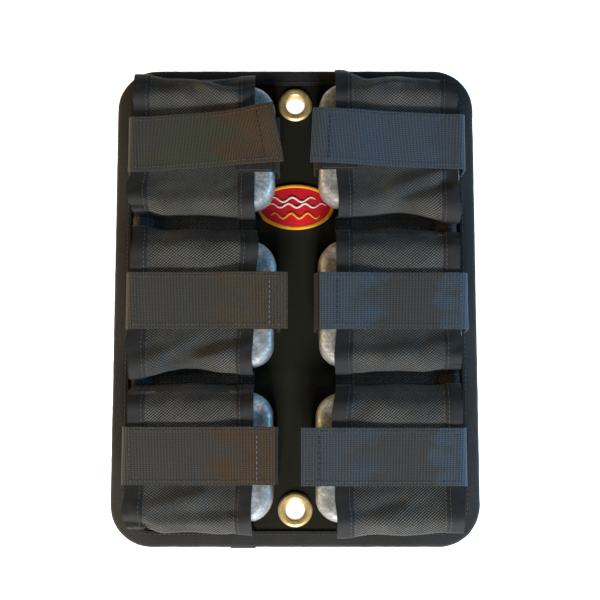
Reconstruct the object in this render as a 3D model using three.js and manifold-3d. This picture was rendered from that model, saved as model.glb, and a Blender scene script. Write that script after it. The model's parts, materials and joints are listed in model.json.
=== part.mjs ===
// A dive weight pad that bolts to a diver's backplate: a stiff cloth panel with a taped edge and two
// grommets, and two long cloth sleeve strips that are sewn down to make three pockets each.
// A lead block lies in each pocket. A webbing strap runs under it, rises at both of its ends and is
// closed over the top by hook and loop tape.
// Millimetres. The pad lies on its back: +Z is away from the backplate and +Y is the pad's top edge.
// The origin is under the middle of the pad, at its lowest face.

import * as THREE from "three";
import { mergeVertices } from "three/addons/utils/BufferGeometryUtils.js";
import Module from "manifold-3d";

const wasm = await Module();
wasm.setup();

// Driving dimensions
const padWidth = 248;
const padHeight = 329;
const padCornerRadius = 28;
const grommetSpacing = 279.4; // eleven inches, the spacing of a backplate's bolt holes
const grommetHoleRadius = 6.35;
const grommetBarrelRadius = 7.1;
const grommetFlangeRadius = 11.7;
const pocketPitch = 106;
const weightLength = 98;
const weightHeight = 88;
const weightThickness = 19.5;
const strapWidth = 38;

// Cloth, board and tape thicknesses, and the gaps that keep touching pieces apart
const tapeThickness = 0.9;
const clothThickness = 0.8;
const boardThickness = 3;
const webbingThickness = 1.3;
const hookLoopThickness = 0.8;
const layerGap = 0.1;
const restGap = 0.3;

// Heights of the layers, from the lowest face up
const backClothBottom = tapeThickness + layerGap;
const boardBottom = backClothBottom + clothThickness + layerGap;
const frontClothBottom = boardBottom + boardThickness + layerGap;
const frontClothTop = frontClothBottom + clothThickness;
const panelTop = frontClothTop + layerGap;
const bindingTop = panelTop + tapeThickness;
const strapBaseHeight = panelTop + webbingThickness / 2;
const weightBottom = panelTop + webbingThickness + restGap;
const weightTop = weightBottom + weightThickness;
const sleeveOverStrapHeight = weightTop + restGap + tapeThickness / 2;
const sleeveTop = sleeveOverStrapHeight + tapeThickness / 2;
const tapeOffset = webbingThickness / 2 + layerGap + hookLoopThickness / 2;
const tabHeight = sleeveTop + restGap + webbingThickness / 2;
const loopHeight = tabHeight + tapeOffset;
const flapLowHeight = sleeveTop + restGap + hookLoopThickness / 2 + tapeOffset;
const flapHighHeight = loopHeight + hookLoopThickness + restGap + tapeOffset;

// Edge tape
const bindingLeg = 10.5;
const bindingWeb = 1;
const clothInset = bindingWeb + layerGap;

// Sleeve strips
const sleeveInnerEdge = 27.5;
const sleeveOuterEdge = 110.4;
const sleeveBulgeSpan = 50.2;
const sleeveFootSpan = 45.7;
const sleeveFootTurn = 0.6;
const sleeveEndSpan = 47.2;

// Weight blocks: their mid-length distance from the pad's centre line, and the slack in a closed strap
const weightCentre = 62.5;
const weightCornerRadius = 17;
const strapSlack = 1;

// Strap loop, at the distances from the centre line where it passes the ends of a block
const outerRiser = weightCentre + weightLength / 2 + strapSlack + 0.2 + webbingThickness / 2;
const innerRiser = weightCentre - weightLength / 2 - strapSlack - 0.2 - webbingThickness / 2;
const foldRadius = 5.6;
const flapHingeHeight = weightTop + 0.8;
const tabHingeHeight = weightTop - 0.2;
const tabLength = 29;
const flapStep = { start: 52, end: 42 };
const hookTape = { inner: 26, outer: 104 };

// Each pocket: its column (-1 left, 1 right), its row, the shift of block and strap away from the centre
// line, their shift up the pad, the block's turn in degrees, and where the flap ends and how far it leans
const pockets = [
  { name: "top_left", side: -1, row: 1, out: -0.5, up: -0.5, turn: 0, flapEnd: 12, lean: 0.072 },
  { name: "middle_left", side: -1, row: 0, out: -0.9, up: -1.5, turn: -2, flapEnd: 5.2, lean: 0 },
  { name: "bottom_left", side: -1, row: -1, out: 0.2, up: 1.5, turn: 0, flapEnd: 13, lean: 0 },
  { name: "top_right", side: 1, row: 1, out: 1.6, up: 1.2, turn: 0, flapEnd: 11, lean: 0.05 },
  { name: "middle_right", side: 1, row: 0, out: 1.6, up: -1.8, turn: 0.5, flapEnd: 16.2, lean: 0 },
  { name: "bottom_right", side: 1, row: -1, out: -0.9, up: 0.8, turn: 0, flapEnd: 3.9, lean: 0 },
];

// Materials
const finishes = {
  panelCloth: { color: 0x1c1c18, roughness: 0.9, metalness: 0 },
  backCloth: { color: 0x1a1a1a, roughness: 0.9, metalness: 0 },
  board: { color: 0x2b2b2b, roughness: 0.6, metalness: 0 },
  binding: { color: 0x2f2f2e, roughness: 0.85, metalness: 0 },
  sleeveCloth: { color: 0x474745, roughness: 0.8, metalness: 0 },
  webbing: { color: 0x3d3f40, roughness: 0.85, metalness: 0 },
  hook: { color: 0x151515, roughness: 0.7, metalness: 0 },
  loop: { color: 0x1f1f1f, roughness: 1, metalness: 0 },
  lead: { color: 0x96999b, roughness: 0.5, metalness: 0.9 },
  brass: { color: 0xa9875a, roughness: 0.35, metalness: 1 },
  badge: { color: 0xb01020, roughness: 0.8, metalness: 0 },
};

function piece(name, geometry, finish) {
  const mesh = new THREE.Mesh(geometry, new THREE.MeshStandardMaterial(finishes[finish]));
  mesh.name = name;
  return mesh;
}

// A rectangle with round corners, centred on the origin.
function roundedRectangle(width, height, radius) {
  const x = width / 2 - radius;
  const y = height / 2 - radius;
  const outline = new THREE.Shape();
  outline.absarc(x, y, radius, 0, Math.PI / 2);
  outline.absarc(-x, y, radius, Math.PI / 2, Math.PI);
  outline.absarc(-x, -y, radius, Math.PI, 1.5 * Math.PI);
  outline.absarc(x, -y, radius, 1.5 * Math.PI, 2 * Math.PI);
  return outline;
}

function plate(outline, bottom, thickness, curveSegments = 6) {
  const options = { depth: thickness, bevelEnabled: false, curveSegments };
  return new THREE.ExtrudeGeometry(outline, options).translate(0, 0, bottom);
}

function inset(amount) {
  return roundedRectangle(padWidth - 2 * amount, padHeight - 2 * amount, padCornerRadius - amount);
}

// A panel layer, with a clearance hole for each grommet's barrel.
function panelLayer(bottom, thickness) {
  const outline = inset(clothInset);
  for (const side of [-1, 1]) {
    const hole = new THREE.Path();
    hole.absarc(0, (side * grommetSpacing) / 2, grommetBarrelRadius + restGap, 0, 2 * Math.PI);
    outline.holes.push(hole);
  }
  return plate(outline, bottom, thickness);
}

function toSolid(geometry) {
  const bare = geometry.clone();
  bare.deleteAttribute("normal");
  bare.deleteAttribute("uv");
  const merged = mergeVertices(bare, 1e-3);
  return new wasm.Manifold(
    new wasm.Mesh({
      numProp: 3,
      vertProperties: merged.attributes.position.array,
      triVerts: new Uint32Array(merged.index.array),
    }),
  );
}

function fromSolid(solid) {
  const mesh = solid.getMesh();
  const geometry = new THREE.BufferGeometry();
  geometry.setAttribute("position", new THREE.BufferAttribute(mesh.vertProperties, 3));
  geometry.setIndex(new THREE.BufferAttribute(mesh.triVerts, 1));
  geometry.computeVertexNormals();
  return geometry;
}

// The edge tape, folded round the panel: a full-depth rim, less the room for the panel's layers.
function edgeBinding() {
  const rim = inset(0);
  rim.holes.push(inset(bindingLeg));
  const slotHeight = panelTop - tapeThickness;
  const room = plate(inset(clothInset - layerGap), tapeThickness, slotHeight);
  return fromSolid(toSolid(plate(rim, 0, bindingTop)).subtract(toSolid(room)));
}

// A ring turned about +Z, from radius and height pairs that run round its section.
function turnedRing(section) {
  const points = section.map(([radius, height]) => new THREE.Vector2(radius, height));
  return new THREE.LatheGeometry([...points, points[0]], 24).rotateX(Math.PI / 2);
}

// A grommet: a domed flange on the front, and a barrel whose end is rolled over the washer on the back.
function grommet() {
  const hole = grommetHoleRadius;
  const barrel = grommetBarrelRadius;
  const flange = grommetFlangeRadius;
  const crown = panelTop + 1.9;
  return turnedRing([
    [hole, layerGap],
    [barrel + 1.2, layerGap],
    [barrel + 1.2, layerGap + 0.35],
    [barrel, layerGap + 0.35],
    [barrel, panelTop],
    [flange, panelTop],
    [flange, panelTop + 0.5],
    [flange - 0.8, panelTop + 1.3],
    [flange - 2.3, crown],
    [flange - 3.8, crown - 0.2],
    [hole + 0.5, crown - 1],
    [hole, crown - 1.9],
  ]);
}

function grommetWasher() {
  const bore = grommetBarrelRadius + layerGap;
  const rim = grommetFlangeRadius - 0.2;
  const bottom = layerGap + 0.45;
  const top = backClothBottom - 0.05;
  return turnedRing([
    [bore, bottom],
    [rim - 0.2, bottom],
    [rim, top],
    [bore, top],
  ]);
}

// The outline of a band of even thickness that follows a line of points, moved off it to the left by offset.
function band(points, thickness, offset = 0) {
  const normals = points.map((point, i) => {
    const before = points[Math.max(i - 1, 0)];
    const after = points[Math.min(i + 1, points.length - 1)];
    const along = new THREE.Vector2().subVectors(after, before).normalize();
    return new THREE.Vector2(-along.y, along.x);
  });
  const side = (distance) => points.map((point, i) => point.clone().addScaledVector(normals[i], distance));
  const left = side(offset + thickness / 2);
  const right = side(offset - thickness / 2).reverse();
  return new THREE.Shape([...left, ...right]);
}

// A strap or tape: a band drawn in the XZ plane and run across the strap's width.
function strapBand(line, thickness, width, middleY, offset) {
  const geometry = new THREE.ExtrudeGeometry(band(line, thickness, offset), {
    depth: width,
    bevelEnabled: false,
  });
  return geometry.rotateX(Math.PI / 2).translate(0, middleY + width / 2, 0);
}

// One sleeve strip, from its sewn end at the pad's bottom edge to that at the top. It humps over each block
// and is pressed flat under the strap, over a wider space where the flap leans.
function sleeveLine(side) {
  const foot = panelTop + tapeThickness / 2;
  const crown = sleeveOverStrapHeight + 2.8;
  const line = new THREE.Path();
  line.moveTo(-pocketPitch - sleeveEndSpan, foot);
  for (const { row, up, lean } of pockets.filter((pocket) => pocket.side === side).reverse()) {
    const middle = row * pocketPitch;
    const bulge = sleeveBulgeSpan;
    const turn = sleeveFootSpan + sleeveFootTurn;
    const flatLow = middle + up - strapWidth / 2 - 1.2;
    const flatHigh = middle + up + strapWidth / 2 + 1.2 + lean * (outerRiser - sleeveInnerEdge);
    line.lineTo(middle - turn, foot);
    line.lineTo(middle - sleeveFootSpan, foot + 1.3);
    line.quadraticCurveTo(middle - bulge, foot + 5, middle - bulge, foot + 10);
    line.bezierCurveTo(middle - bulge, crown, middle - 41, crown, middle - 34, crown);
    line.quadraticCurveTo(flatLow - 5, crown, flatLow, sleeveOverStrapHeight);
    line.lineTo(flatHigh, sleeveOverStrapHeight);
    line.quadraticCurveTo(flatHigh + 5, crown, middle + 34, crown);
    line.bezierCurveTo(middle + 41, crown, middle + bulge, crown, middle + bulge, foot + 10);
    line.quadraticCurveTo(middle + bulge, foot + 5, middle + sleeveFootSpan, foot + 1.3);
    line.lineTo(middle + turn, foot);
  }
  line.lineTo(pocketPitch + sleeveEndSpan, foot);
  return line.getPoints(6);
}

function sleeveStrip(side) {
  const length = sleeveOuterEdge - sleeveInnerEdge;
  const geometry = new THREE.ExtrudeGeometry(band(sleeveLine(side), tapeThickness), {
    depth: length,
    bevelEnabled: false,
  });
  geometry.rotateX(Math.PI / 2).rotateZ(Math.PI / 2);
  const left = side < 0 ? -sleeveOuterEdge : sleeveInnerEdge;
  const strip = toSolid(geometry.translate(left, 0, 0));
  return fromSolid(strip.subtract(toSolid(bindingRoom())));
}

// The space the edge tape's upper leg takes, with a gap, so that a sleeve's sewn end stops at the tape.
function bindingRoom() {
  const rim = inset(-1);
  rim.holes.push(inset(bindingLeg + restGap));
  return plate(rim, frontClothTop, tapeThickness + layerGap + restGap);
}

// A cast block: round-cornered outlines stacked up its height, drawn in at its edges and up its sides.
function leadBlock() {
  const steps = [
    [0, 3.2],
    [0.9, 1.5],
    [3, 0],
    [weightThickness - 3.2, 1.2],
    [weightThickness - 1, 2.2],
    [weightThickness, 4],
  ];
  const rings = steps.map(([, drawnIn]) =>
    roundedRectangle(weightLength - 2 * drawnIn, weightHeight - 2 * drawnIn, weightCornerRadius - drawnIn)
      .getPoints(3)
      .slice(0, -1),
  );
  const count = rings[0].length;
  const positions = rings.flatMap((ring, i) => ring.flatMap((point) => [point.x, point.y, steps[i][0]]));
  const faces = [];
  for (let level = 0; level + 1 < rings.length; level++) {
    for (let i = 0; i < count; i++) {
      const here = level * count + i;
      const next = level * count + ((i + 1) % count);
      faces.push(here, next, next + count, here, next + count, here + count);
    }
  }
  const last = (rings.length - 1) * count;
  for (let i = 1; i + 1 < count; i++) {
    faces.push(0, i + 1, i, last, last + i, last + i + 1);
  }
  const geometry = new THREE.BufferGeometry();
  geometry.setAttribute("position", new THREE.Float32BufferAttribute(positions, 3));
  geometry.setIndex(faces);
  geometry.computeVertexNormals();
  return geometry;
}

// A strap's lines in the XZ plane. A distance d from the pad's centre line is at x = side * d.
function strapLines({ side, out, flapEnd }) {
  const far = outerRiser + out;
  const near = innerRiser + out;
  const at = (distance, height) => [side * distance, height];
  const base = new THREE.Path();
  base.moveTo(...at(near, tabHingeHeight - 0.6));
  base.lineTo(...at(near, strapBaseHeight + foldRadius));
  base.quadraticCurveTo(...at(near, strapBaseHeight), ...at(near + foldRadius, strapBaseHeight));
  base.lineTo(...at(far - foldRadius, strapBaseHeight));
  base.quadraticCurveTo(...at(far, strapBaseHeight), ...at(far, strapBaseHeight + foldRadius));
  base.lineTo(...at(far, flapHingeHeight - 0.6));

  const flap = new THREE.Path();
  flap.moveTo(...at(far, flapHingeHeight + 0.4));
  flap.quadraticCurveTo(...at(far, flapLowHeight), ...at(far - 3, flapLowHeight));
  flap.lineTo(...at(flapStep.start, flapLowHeight));
  flap.lineTo(...at(flapStep.end, flapHighHeight));
  const droopStart = near + 3;
  if (flapEnd < droopStart) {
    flap.lineTo(...at(droopStart, flapHighHeight));
    flap.lineTo(...at(flapEnd, flapHighHeight - 0.5 * (droopStart - flapEnd)));
  } else {
    flap.lineTo(...at(flapEnd, flapHighHeight));
  }

  const hook = new THREE.Path();
  hook.moveTo(...at(hookTape.outer, flapLowHeight));
  hook.lineTo(...at(flapStep.start, flapLowHeight));
  hook.lineTo(...at(flapStep.end, flapHighHeight));
  hook.lineTo(...at(hookTape.inner, flapHighHeight));

  const tab = new THREE.Path();
  tab.moveTo(...at(near, tabHingeHeight + 0.4));
  tab.quadraticCurveTo(...at(near, tabHeight), ...at(near + 2.5, tabHeight));
  tab.lineTo(...at(near + tabLength, tabHeight));

  const loop = new THREE.Path();
  loop.moveTo(...at(near + 5, tabHeight));
  loop.lineTo(...at(near + tabLength - 1, tabHeight));
  return { base, flap, hook, tab, loop };
}

// Leans a flap up the pad: each point moves by lean times its distance from the fold.
function leanFlap(geometry, { side, out, lean }) {
  const fold = side * (outerRiser + out);
  const shear = new THREE.Matrix4().makeShear(-side * lean, 0, 0, 0, 0, 0);
  return geometry.applyMatrix4(shear).translate(0, side * lean * fold, 0);
}

function pocketPieces(pocket) {
  const { name, side } = pocket;
  const middleY = pocket.row * pocketPitch + pocket.up;
  const lines = strapLines(pocket);
  const strap = (line) => strapBand(line.getPoints(5), webbingThickness, strapWidth, middleY, 0);
  const tape = (line) =>
    strapBand(line.getPoints(5), hookLoopThickness, strapWidth - 2, middleY, side * tapeOffset);

  const block = piece(`lead_weight_${name}`, leadBlock(), "lead");
  block.position.set(side * (weightCentre + pocket.out), middleY, weightBottom);
  block.rotation.z = THREE.MathUtils.degToRad(pocket.turn);

  return [
    block,
    piece(`strap_base_${name}`, strap(lines.base), "webbing"),
    piece(`strap_flap_${name}`, leanFlap(strap(lines.flap), pocket), "webbing"),
    piece(`hook_tape_${name}`, leanFlap(tape(lines.hook), pocket), "hook"),
    piece(`strap_tab_${name}`, strap(lines.tab), "webbing"),
    piece(`loop_tape_${name}`, tape(lines.loop), "loop"),
  ];
}

function badge() {
  const outline = new THREE.Shape();
  outline.absellipse(0, 67, 26.8, 16, 0, 2 * Math.PI);
  return plate(outline, panelTop, 1.1, 16);
}

const pad = new THREE.Group();
pad.add(
  piece("back_cloth", panelLayer(backClothBottom, clothThickness), "backCloth"),
  piece("stiffener_board", panelLayer(boardBottom, boardThickness), "board"),
  piece("front_cloth", panelLayer(frontClothBottom, clothThickness), "panelCloth"),
  piece("edge_binding", edgeBinding(), "binding"),
  piece("badge", badge(), "badge"),
  piece("sleeve_strip_left", sleeveStrip(-1), "sleeveCloth"),
  piece("sleeve_strip_right", sleeveStrip(1), "sleeveCloth"),
);

for (const [place, side] of [["top", 1], ["bottom", -1]]) {
  const front = piece(`grommet_${place}`, grommet(), "brass");
  const back = piece(`grommet_washer_${place}`, grommetWasher(), "brass");
  for (const ring of [front, back]) {
    ring.position.y = (side * grommetSpacing) / 2;
    pad.add(ring);
  }
}

for (const pocket of pockets) pad.add(...pocketPieces(pocket));

export default pad;
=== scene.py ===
"""A dive weight pad for a backplate.

Six lead blocks lie in two sewn cloth sleeves, each block under a hook and loop strap. Every size is in
metres, in the pad's own frame: +Z comes out of the pad's front and +Y points at its top edge.
"""

import json
import logging
import math
from dataclasses import dataclass, field
from enum import Enum
from typing import Callable, Sequence

import bmesh
import bpy
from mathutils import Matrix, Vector


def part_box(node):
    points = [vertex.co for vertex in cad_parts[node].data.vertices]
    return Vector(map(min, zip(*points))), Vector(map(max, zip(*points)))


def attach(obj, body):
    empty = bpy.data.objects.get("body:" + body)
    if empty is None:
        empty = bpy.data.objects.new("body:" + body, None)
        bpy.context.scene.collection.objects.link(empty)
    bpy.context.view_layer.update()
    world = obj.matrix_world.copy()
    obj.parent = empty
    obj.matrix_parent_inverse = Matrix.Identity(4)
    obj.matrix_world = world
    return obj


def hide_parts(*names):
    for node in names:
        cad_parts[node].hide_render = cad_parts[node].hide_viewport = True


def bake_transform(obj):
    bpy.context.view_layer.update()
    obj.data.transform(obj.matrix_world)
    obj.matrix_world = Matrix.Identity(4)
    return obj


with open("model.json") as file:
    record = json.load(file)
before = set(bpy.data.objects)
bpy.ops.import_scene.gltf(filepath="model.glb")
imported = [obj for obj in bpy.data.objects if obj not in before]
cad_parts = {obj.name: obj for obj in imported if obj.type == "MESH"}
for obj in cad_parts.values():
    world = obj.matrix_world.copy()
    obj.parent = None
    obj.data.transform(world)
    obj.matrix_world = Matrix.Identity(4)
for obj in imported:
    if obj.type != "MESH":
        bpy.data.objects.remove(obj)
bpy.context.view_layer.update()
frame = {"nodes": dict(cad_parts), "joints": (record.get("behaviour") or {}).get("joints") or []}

log = logging.getLogger("weight_pad")

ROW_SPACING = 0.106
WEBBING = 0.0013
WEBBING_WIDTH = 0.038
MERGE_DISTANCE = 0.000005
NEAR = 0.00001
SMALLEST_TURN = 0.00001

Color = tuple[float, float, float]
Place = tuple[float, float, float]
Material = bpy.types.Material
Piece = bpy.types.Object
Socket = bpy.types.NodeSocket


class Side(Enum):
    """The pad's two columns of pockets, with the sign of their X."""

    LEFT = -1
    RIGHT = 1


class Direction(Enum):
    """Which way a row of stitches runs on a strip."""

    ALONG = "along"
    ACROSS = "across"


class Follow(Enum):
    """What a finish's pattern is drawn on."""

    PLACE = "Object"
    CLOTH = "UV"


# ---------------------------------------------------------------------------
# The work bench
# ---------------------------------------------------------------------------


def hold(piece: Piece) -> None:
    """Makes one piece the only selected and active object.

    Args:
        piece: The object to work on.
    """
    bpy.ops.object.select_all(action="DESELECT")
    piece.select_set(True)
    bpy.context.view_layer.objects.active = piece


class Editing:
    """Edit mode on one piece, for the length of a with block."""

    def __init__(self, piece: Piece) -> None:
        """Keeps the piece to edit.

        Args:
            piece: The mesh object to edit.
        """
        self.piece = piece

    def __enter__(self) -> "Editing":
        """Opens edit mode with vertices picked.

        Returns:
            The open editor.
        """
        hold(self.piece)
        bpy.ops.object.mode_set(mode="EDIT")
        bpy.ops.mesh.select_mode(type="VERT")
        return self

    def __exit__(self, *_: object) -> None:
        """Goes back to object mode."""
        bpy.ops.object.mode_set(mode="OBJECT")

    def mesh(self) -> bmesh.types.BMesh:
        """Gives the mesh that is being edited."""
        return bmesh.from_edit_mesh(self.piece.data)

    def pick(self, kind: str, wanted: Callable[[object], bool]) -> int:
        """Selects the faces, edges or vertices that pass a test.

        Args:
            kind: FACE, EDGE or VERT.
            wanted: The test, which is given each face, edge or vertex.

        Returns:
            How many were selected.
        """
        bpy.ops.mesh.select_mode(type=kind)
        bpy.ops.mesh.select_all(action="DESELECT")
        mesh = self.mesh()
        items = {"FACE": mesh.faces, "EDGE": mesh.edges, "VERT": mesh.verts}[kind]
        found = [item for item in items if wanted(item)]
        for item in found:
            item.select_set(True)
        bmesh.update_edit_mesh(self.piece.data)
        return len(found)


def apply_modifier(piece: Piece, kind: str, **settings: object) -> None:
    """Adds a modifier to a piece and applies it.

    Args:
        piece: The piece to change.
        kind: The modifier's type, such as SOLIDIFY.
        **settings: The modifier's properties.
    """
    hold(piece)
    modifier = piece.modifiers.new(kind.title(), kind)
    for key, value in settings.items():
        setattr(modifier, key, value)
    bpy.ops.object.modifier_apply(modifier=modifier.name)


def clouds(name: str, size: float, depth: int = 2) -> bpy.types.Texture:
    """Makes a cloud texture for a displacement.

    Args:
        name: The texture's name.
        size: The size of its lumps.
        depth: How many finer layers it has.

    Returns:
        The texture.
    """
    texture = bpy.data.textures.get(name) or bpy.data.textures.new(name, "CLOUDS")
    texture.noise_scale = size
    texture.noise_depth = depth
    return texture


def roughen(piece: Piece, texture: bpy.types.Texture, strength: float, group: str = "") -> None:
    """Pushes a piece's surface in and out along its normals.

    Args:
        piece: The piece to roughen.
        texture: The lumps.
        strength: How far the highest lump is from the lowest.
        group: The vertex group that limits it, if any.
    """
    apply_modifier(
        piece,
        "DISPLACE",
        texture=texture,
        strength=strength,
        mid_level=0.5,
        texture_coords="LOCAL",
        vertex_group=group,
    )


def set_down(piece: Piece, name: str, angle: float = 40.0) -> Piece:
    """Names a finished piece, leaves its place in its mesh and smooths its shading.

    Args:
        piece: The piece.
        name: Its name.
        angle: The largest angle between faces that is shaded smooth, in degrees.

    Returns:
        The same piece.
    """
    hold(piece)
    bpy.ops.object.transform_apply(location=True, rotation=True, scale=True)
    bpy.ops.object.shade_smooth_by_angle(angle=math.radians(angle))
    piece.name = name
    piece.data.name = name
    return piece


def face_outwards(piece: Piece) -> None:
    """Merges a mesh's doubled vertices and turns its faces outwards.

    Args:
        piece: The piece to mend.
    """
    with Editing(piece):
        bpy.ops.mesh.select_all(action="SELECT")
        bpy.ops.mesh.remove_doubles(threshold=MERGE_DISTANCE)
        bpy.ops.mesh.normals_make_consistent(inside=False)


def copy_piece(piece: Piece) -> Piece:
    """Copies a piece together with its mesh.

    Args:
        piece: The piece to copy.

    Returns:
        The copy.
    """
    copy = piece.copy()
    copy.data = piece.data.copy()
    bpy.context.collection.objects.link(copy)
    return copy


def join(pieces: Sequence[Piece], name: str) -> Piece:
    """Joins pieces into one.

    Args:
        pieces: The pieces to join.
        name: The joined piece's name.

    Returns:
        The joined piece.
    """
    hold(pieces[0])
    for piece in pieces:
        piece.select_set(True)
    if len(pieces) > 1:
        bpy.ops.object.join()
    pieces[0].name = name
    pieces[0].data.name = name
    return pieces[0]


def dress(
    piece: Piece, material: Material, body: str = "", stands_for: Sequence[str] = ()
) -> Piece:
    """Gives a piece its finish and its place in the frame.

    Args:
        piece: The finished piece.
        material: Its material.
        body: The body it rides on, or nothing if it rides on none.
        stands_for: The frame's nodes that it replaces.

    Returns:
        The same piece.
    """
    piece.data.materials.clear()
    piece.data.materials.append(material)
    if stands_for:
        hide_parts(*stands_for)
    if body:
        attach(piece, body)
    log.info("%s: %d faces", piece.name, len(piece.data.polygons))
    return piece


# ---------------------------------------------------------------------------
# Finishes
# ---------------------------------------------------------------------------


class Recipe:
    """A material's nodes, with short forms for the steps that the finishes share."""

    def __init__(
        self, name: str, color: Color, roughness: float, gloss: float = 0.5, metallic: float = 0.0
    ) -> None:
        """Starts a material.

        Args:
            name: The material's name.
            color: Its plain colour.
            roughness: Its plain roughness.
            gloss: How strongly it mirrors, where 0.5 is common plastic.
            metallic: Whether it is a metal, from 0 to 1.
        """
        self.material = bpy.data.materials.new(name)
        self.material.use_nodes = True
        self.nodes = self.material.node_tree.nodes
        self.links = self.material.node_tree.links
        self.shader = self.nodes["Principled BSDF"]
        self.shader.inputs["Base Color"].default_value = (*color, 1.0)
        self.shader.inputs["Roughness"].default_value = roughness
        self.shader.inputs["Specular IOR Level"].default_value = gloss
        self.shader.inputs["Metallic"].default_value = metallic

    def node(self, kind: str, settings: dict[str, object], inputs: dict[str | int, object]) -> bpy.types.Node:
        """Adds a node.

        Args:
            kind: The node's type, without its ShaderNode prefix.
            settings: Its properties.
            inputs: Its inputs, each a value or the socket that feeds it.

        Returns:
            The node.
        """
        node = self.nodes.new("ShaderNode" + kind)
        for key, value in settings.items():
            setattr(node, key, value)
        for key, value in inputs.items():
            if isinstance(value, Socket):
                self.links.new(value, node.inputs[key])
            else:
                node.inputs[key].default_value = value
        return node

    def coords(self, follow: Follow, turn: float = 0.0, scale: Place = (1, 1, 1)) -> Socket:
        """Gives pattern coordinates.

        Args:
            follow: What the pattern is drawn on.
            turn: How far the pattern is turned in its plane, in degrees.
            scale: The pattern's stretch along each axis.

        Returns:
            The coordinates.
        """
        source = self.node("TexCoord", {}, {}).outputs[follow.value]
        inputs = {"Vector": source, "Rotation": (0, 0, math.radians(turn)), "Scale": scale}
        return self.node("Mapping", {}, inputs).outputs["Vector"]

    def ribs(self, vector: Socket, pitch: float, axis: str = "X", wander: float = 0.0) -> Socket:
        """Gives even ribs, from 0 in the grooves to 1 on the ridges.

        Args:
            vector: The coordinates.
            pitch: The distance from one rib to the next.
            axis: The axis that the ribs lie across.
            wander: How much the ribs wander.

        Returns:
            The ribs' height.
        """
        settings = {"wave_type": "BANDS", "bands_direction": axis, "wave_profile": "SIN"}
        inputs = {
            "Vector": vector,
            "Scale": math.tau / (20 * pitch),
            "Distortion": wander,
            "Detail": 1.0,
            "Detail Scale": 1.5,
        }
        return self.node("TexWave", settings, inputs).outputs["Fac"]

    def noise(self, vector: Socket, size: float, detail: float = 2.0, roughness: float = 0.5) -> Socket:
        """Gives soft noise, from 0 to 1.

        Args:
            vector: The coordinates.
            size: The size of its spots.
            detail: How many finer layers it has.
            roughness: How strong the finer layers are.

        Returns:
            The noise.
        """
        inputs = {"Vector": vector, "Scale": 1 / size, "Detail": detail, "Roughness": roughness}
        return self.node("TexNoise", {}, inputs).outputs["Fac"]

    def cells(self, vector: Socket, scale: float) -> Socket:
        """Gives the distance to the middles of scattered cells, for pits and tufts.

        Args:
            vector: The coordinates.
            scale: How many cells there are to a metre.

        Returns:
            The distance.
        """
        inputs = {"Vector": vector, "Scale": scale}
        return self.node("TexVoronoi", {"feature": "F1"}, inputs).outputs["Distance"]

    def math(self, operation: str, first: object, second: object = 0.0) -> Socket:
        """Combines two numbers.

        Args:
            operation: The sum to do, such as MULTIPLY.
            first: A value or socket.
            second: A value or socket.

        Returns:
            The result.
        """
        return self.node("Math", {"operation": operation}, {0: first, 1: second}).outputs[0]

    def remap(self, value: Socket, low: float, high: float, new_low: float, new_high: float) -> Socket:
        """Stretches a range of numbers onto another, and holds it there.

        Args:
            value: The number.
            low: The start of its range.
            high: The end of its range.
            new_low: Where the start goes.
            new_high: Where the end goes.

        Returns:
            The stretched number.
        """
        inputs = {0: value, 1: low, 2: high, 3: new_low, 4: new_high}
        return self.node("MapRange", {"clamp": True}, inputs).outputs[0]

    def blend(self, factor: Socket, first: object, second: object) -> Socket:
        """Mixes two colours.

        Args:
            factor: How much of the second colour is used.
            first: A colour or socket.
            second: A colour or socket.

        Returns:
            The mixed colour.
        """
        sides = [(*c, 1.0) if isinstance(c, tuple) else c for c in (first, second)]
        node = self.node("Mix", {"data_type": "RGBA"}, {0: factor, 6: sides[0], 7: sides[1]})
        return node.outputs[2]

    def paint(self, color: Socket) -> None:
        """Feeds the shader's colour."""
        self.links.new(color, self.shader.inputs["Base Color"])

    def dull(self, roughness: Socket) -> None:
        """Feeds the shader's roughness."""
        self.links.new(roughness, self.shader.inputs["Roughness"])

    def emboss(self, height: Socket, depth: float, strength: float = 1.0) -> None:
        """Feeds the shader's normal with a relief.

        Args:
            height: The relief, from 0 to 1.
            depth: How deep it is.
            strength: How strongly it shows.
        """
        inputs = {"Height": height, "Distance": depth, "Strength": strength}
        bump = self.node("Bump", {}, inputs)
        self.links.new(bump.outputs["Normal"], self.shader.inputs["Normal"])

    def fuzz(self, weight: float, tint: Color, roughness: float = 0.5) -> None:
        """Sets the soft sheen of fibres.

        Args:
            weight: How strong it is.
            tint: Its colour.
            roughness: How spread it is.
        """
        self.shader.inputs["Sheen Weight"].default_value = weight
        self.shader.inputs["Sheen Tint"].default_value = (*tint, 1.0)
        self.shader.inputs["Sheen Roughness"].default_value = roughness


def scaled(color: Color, amount: float) -> Color:
    """Lightens or darkens a colour.

    Args:
        color: The colour.
        amount: What it is multiplied by.

    Returns:
        The new colour.
    """
    return (color[0] * amount, color[1] * amount, color[2] * amount)


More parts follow.
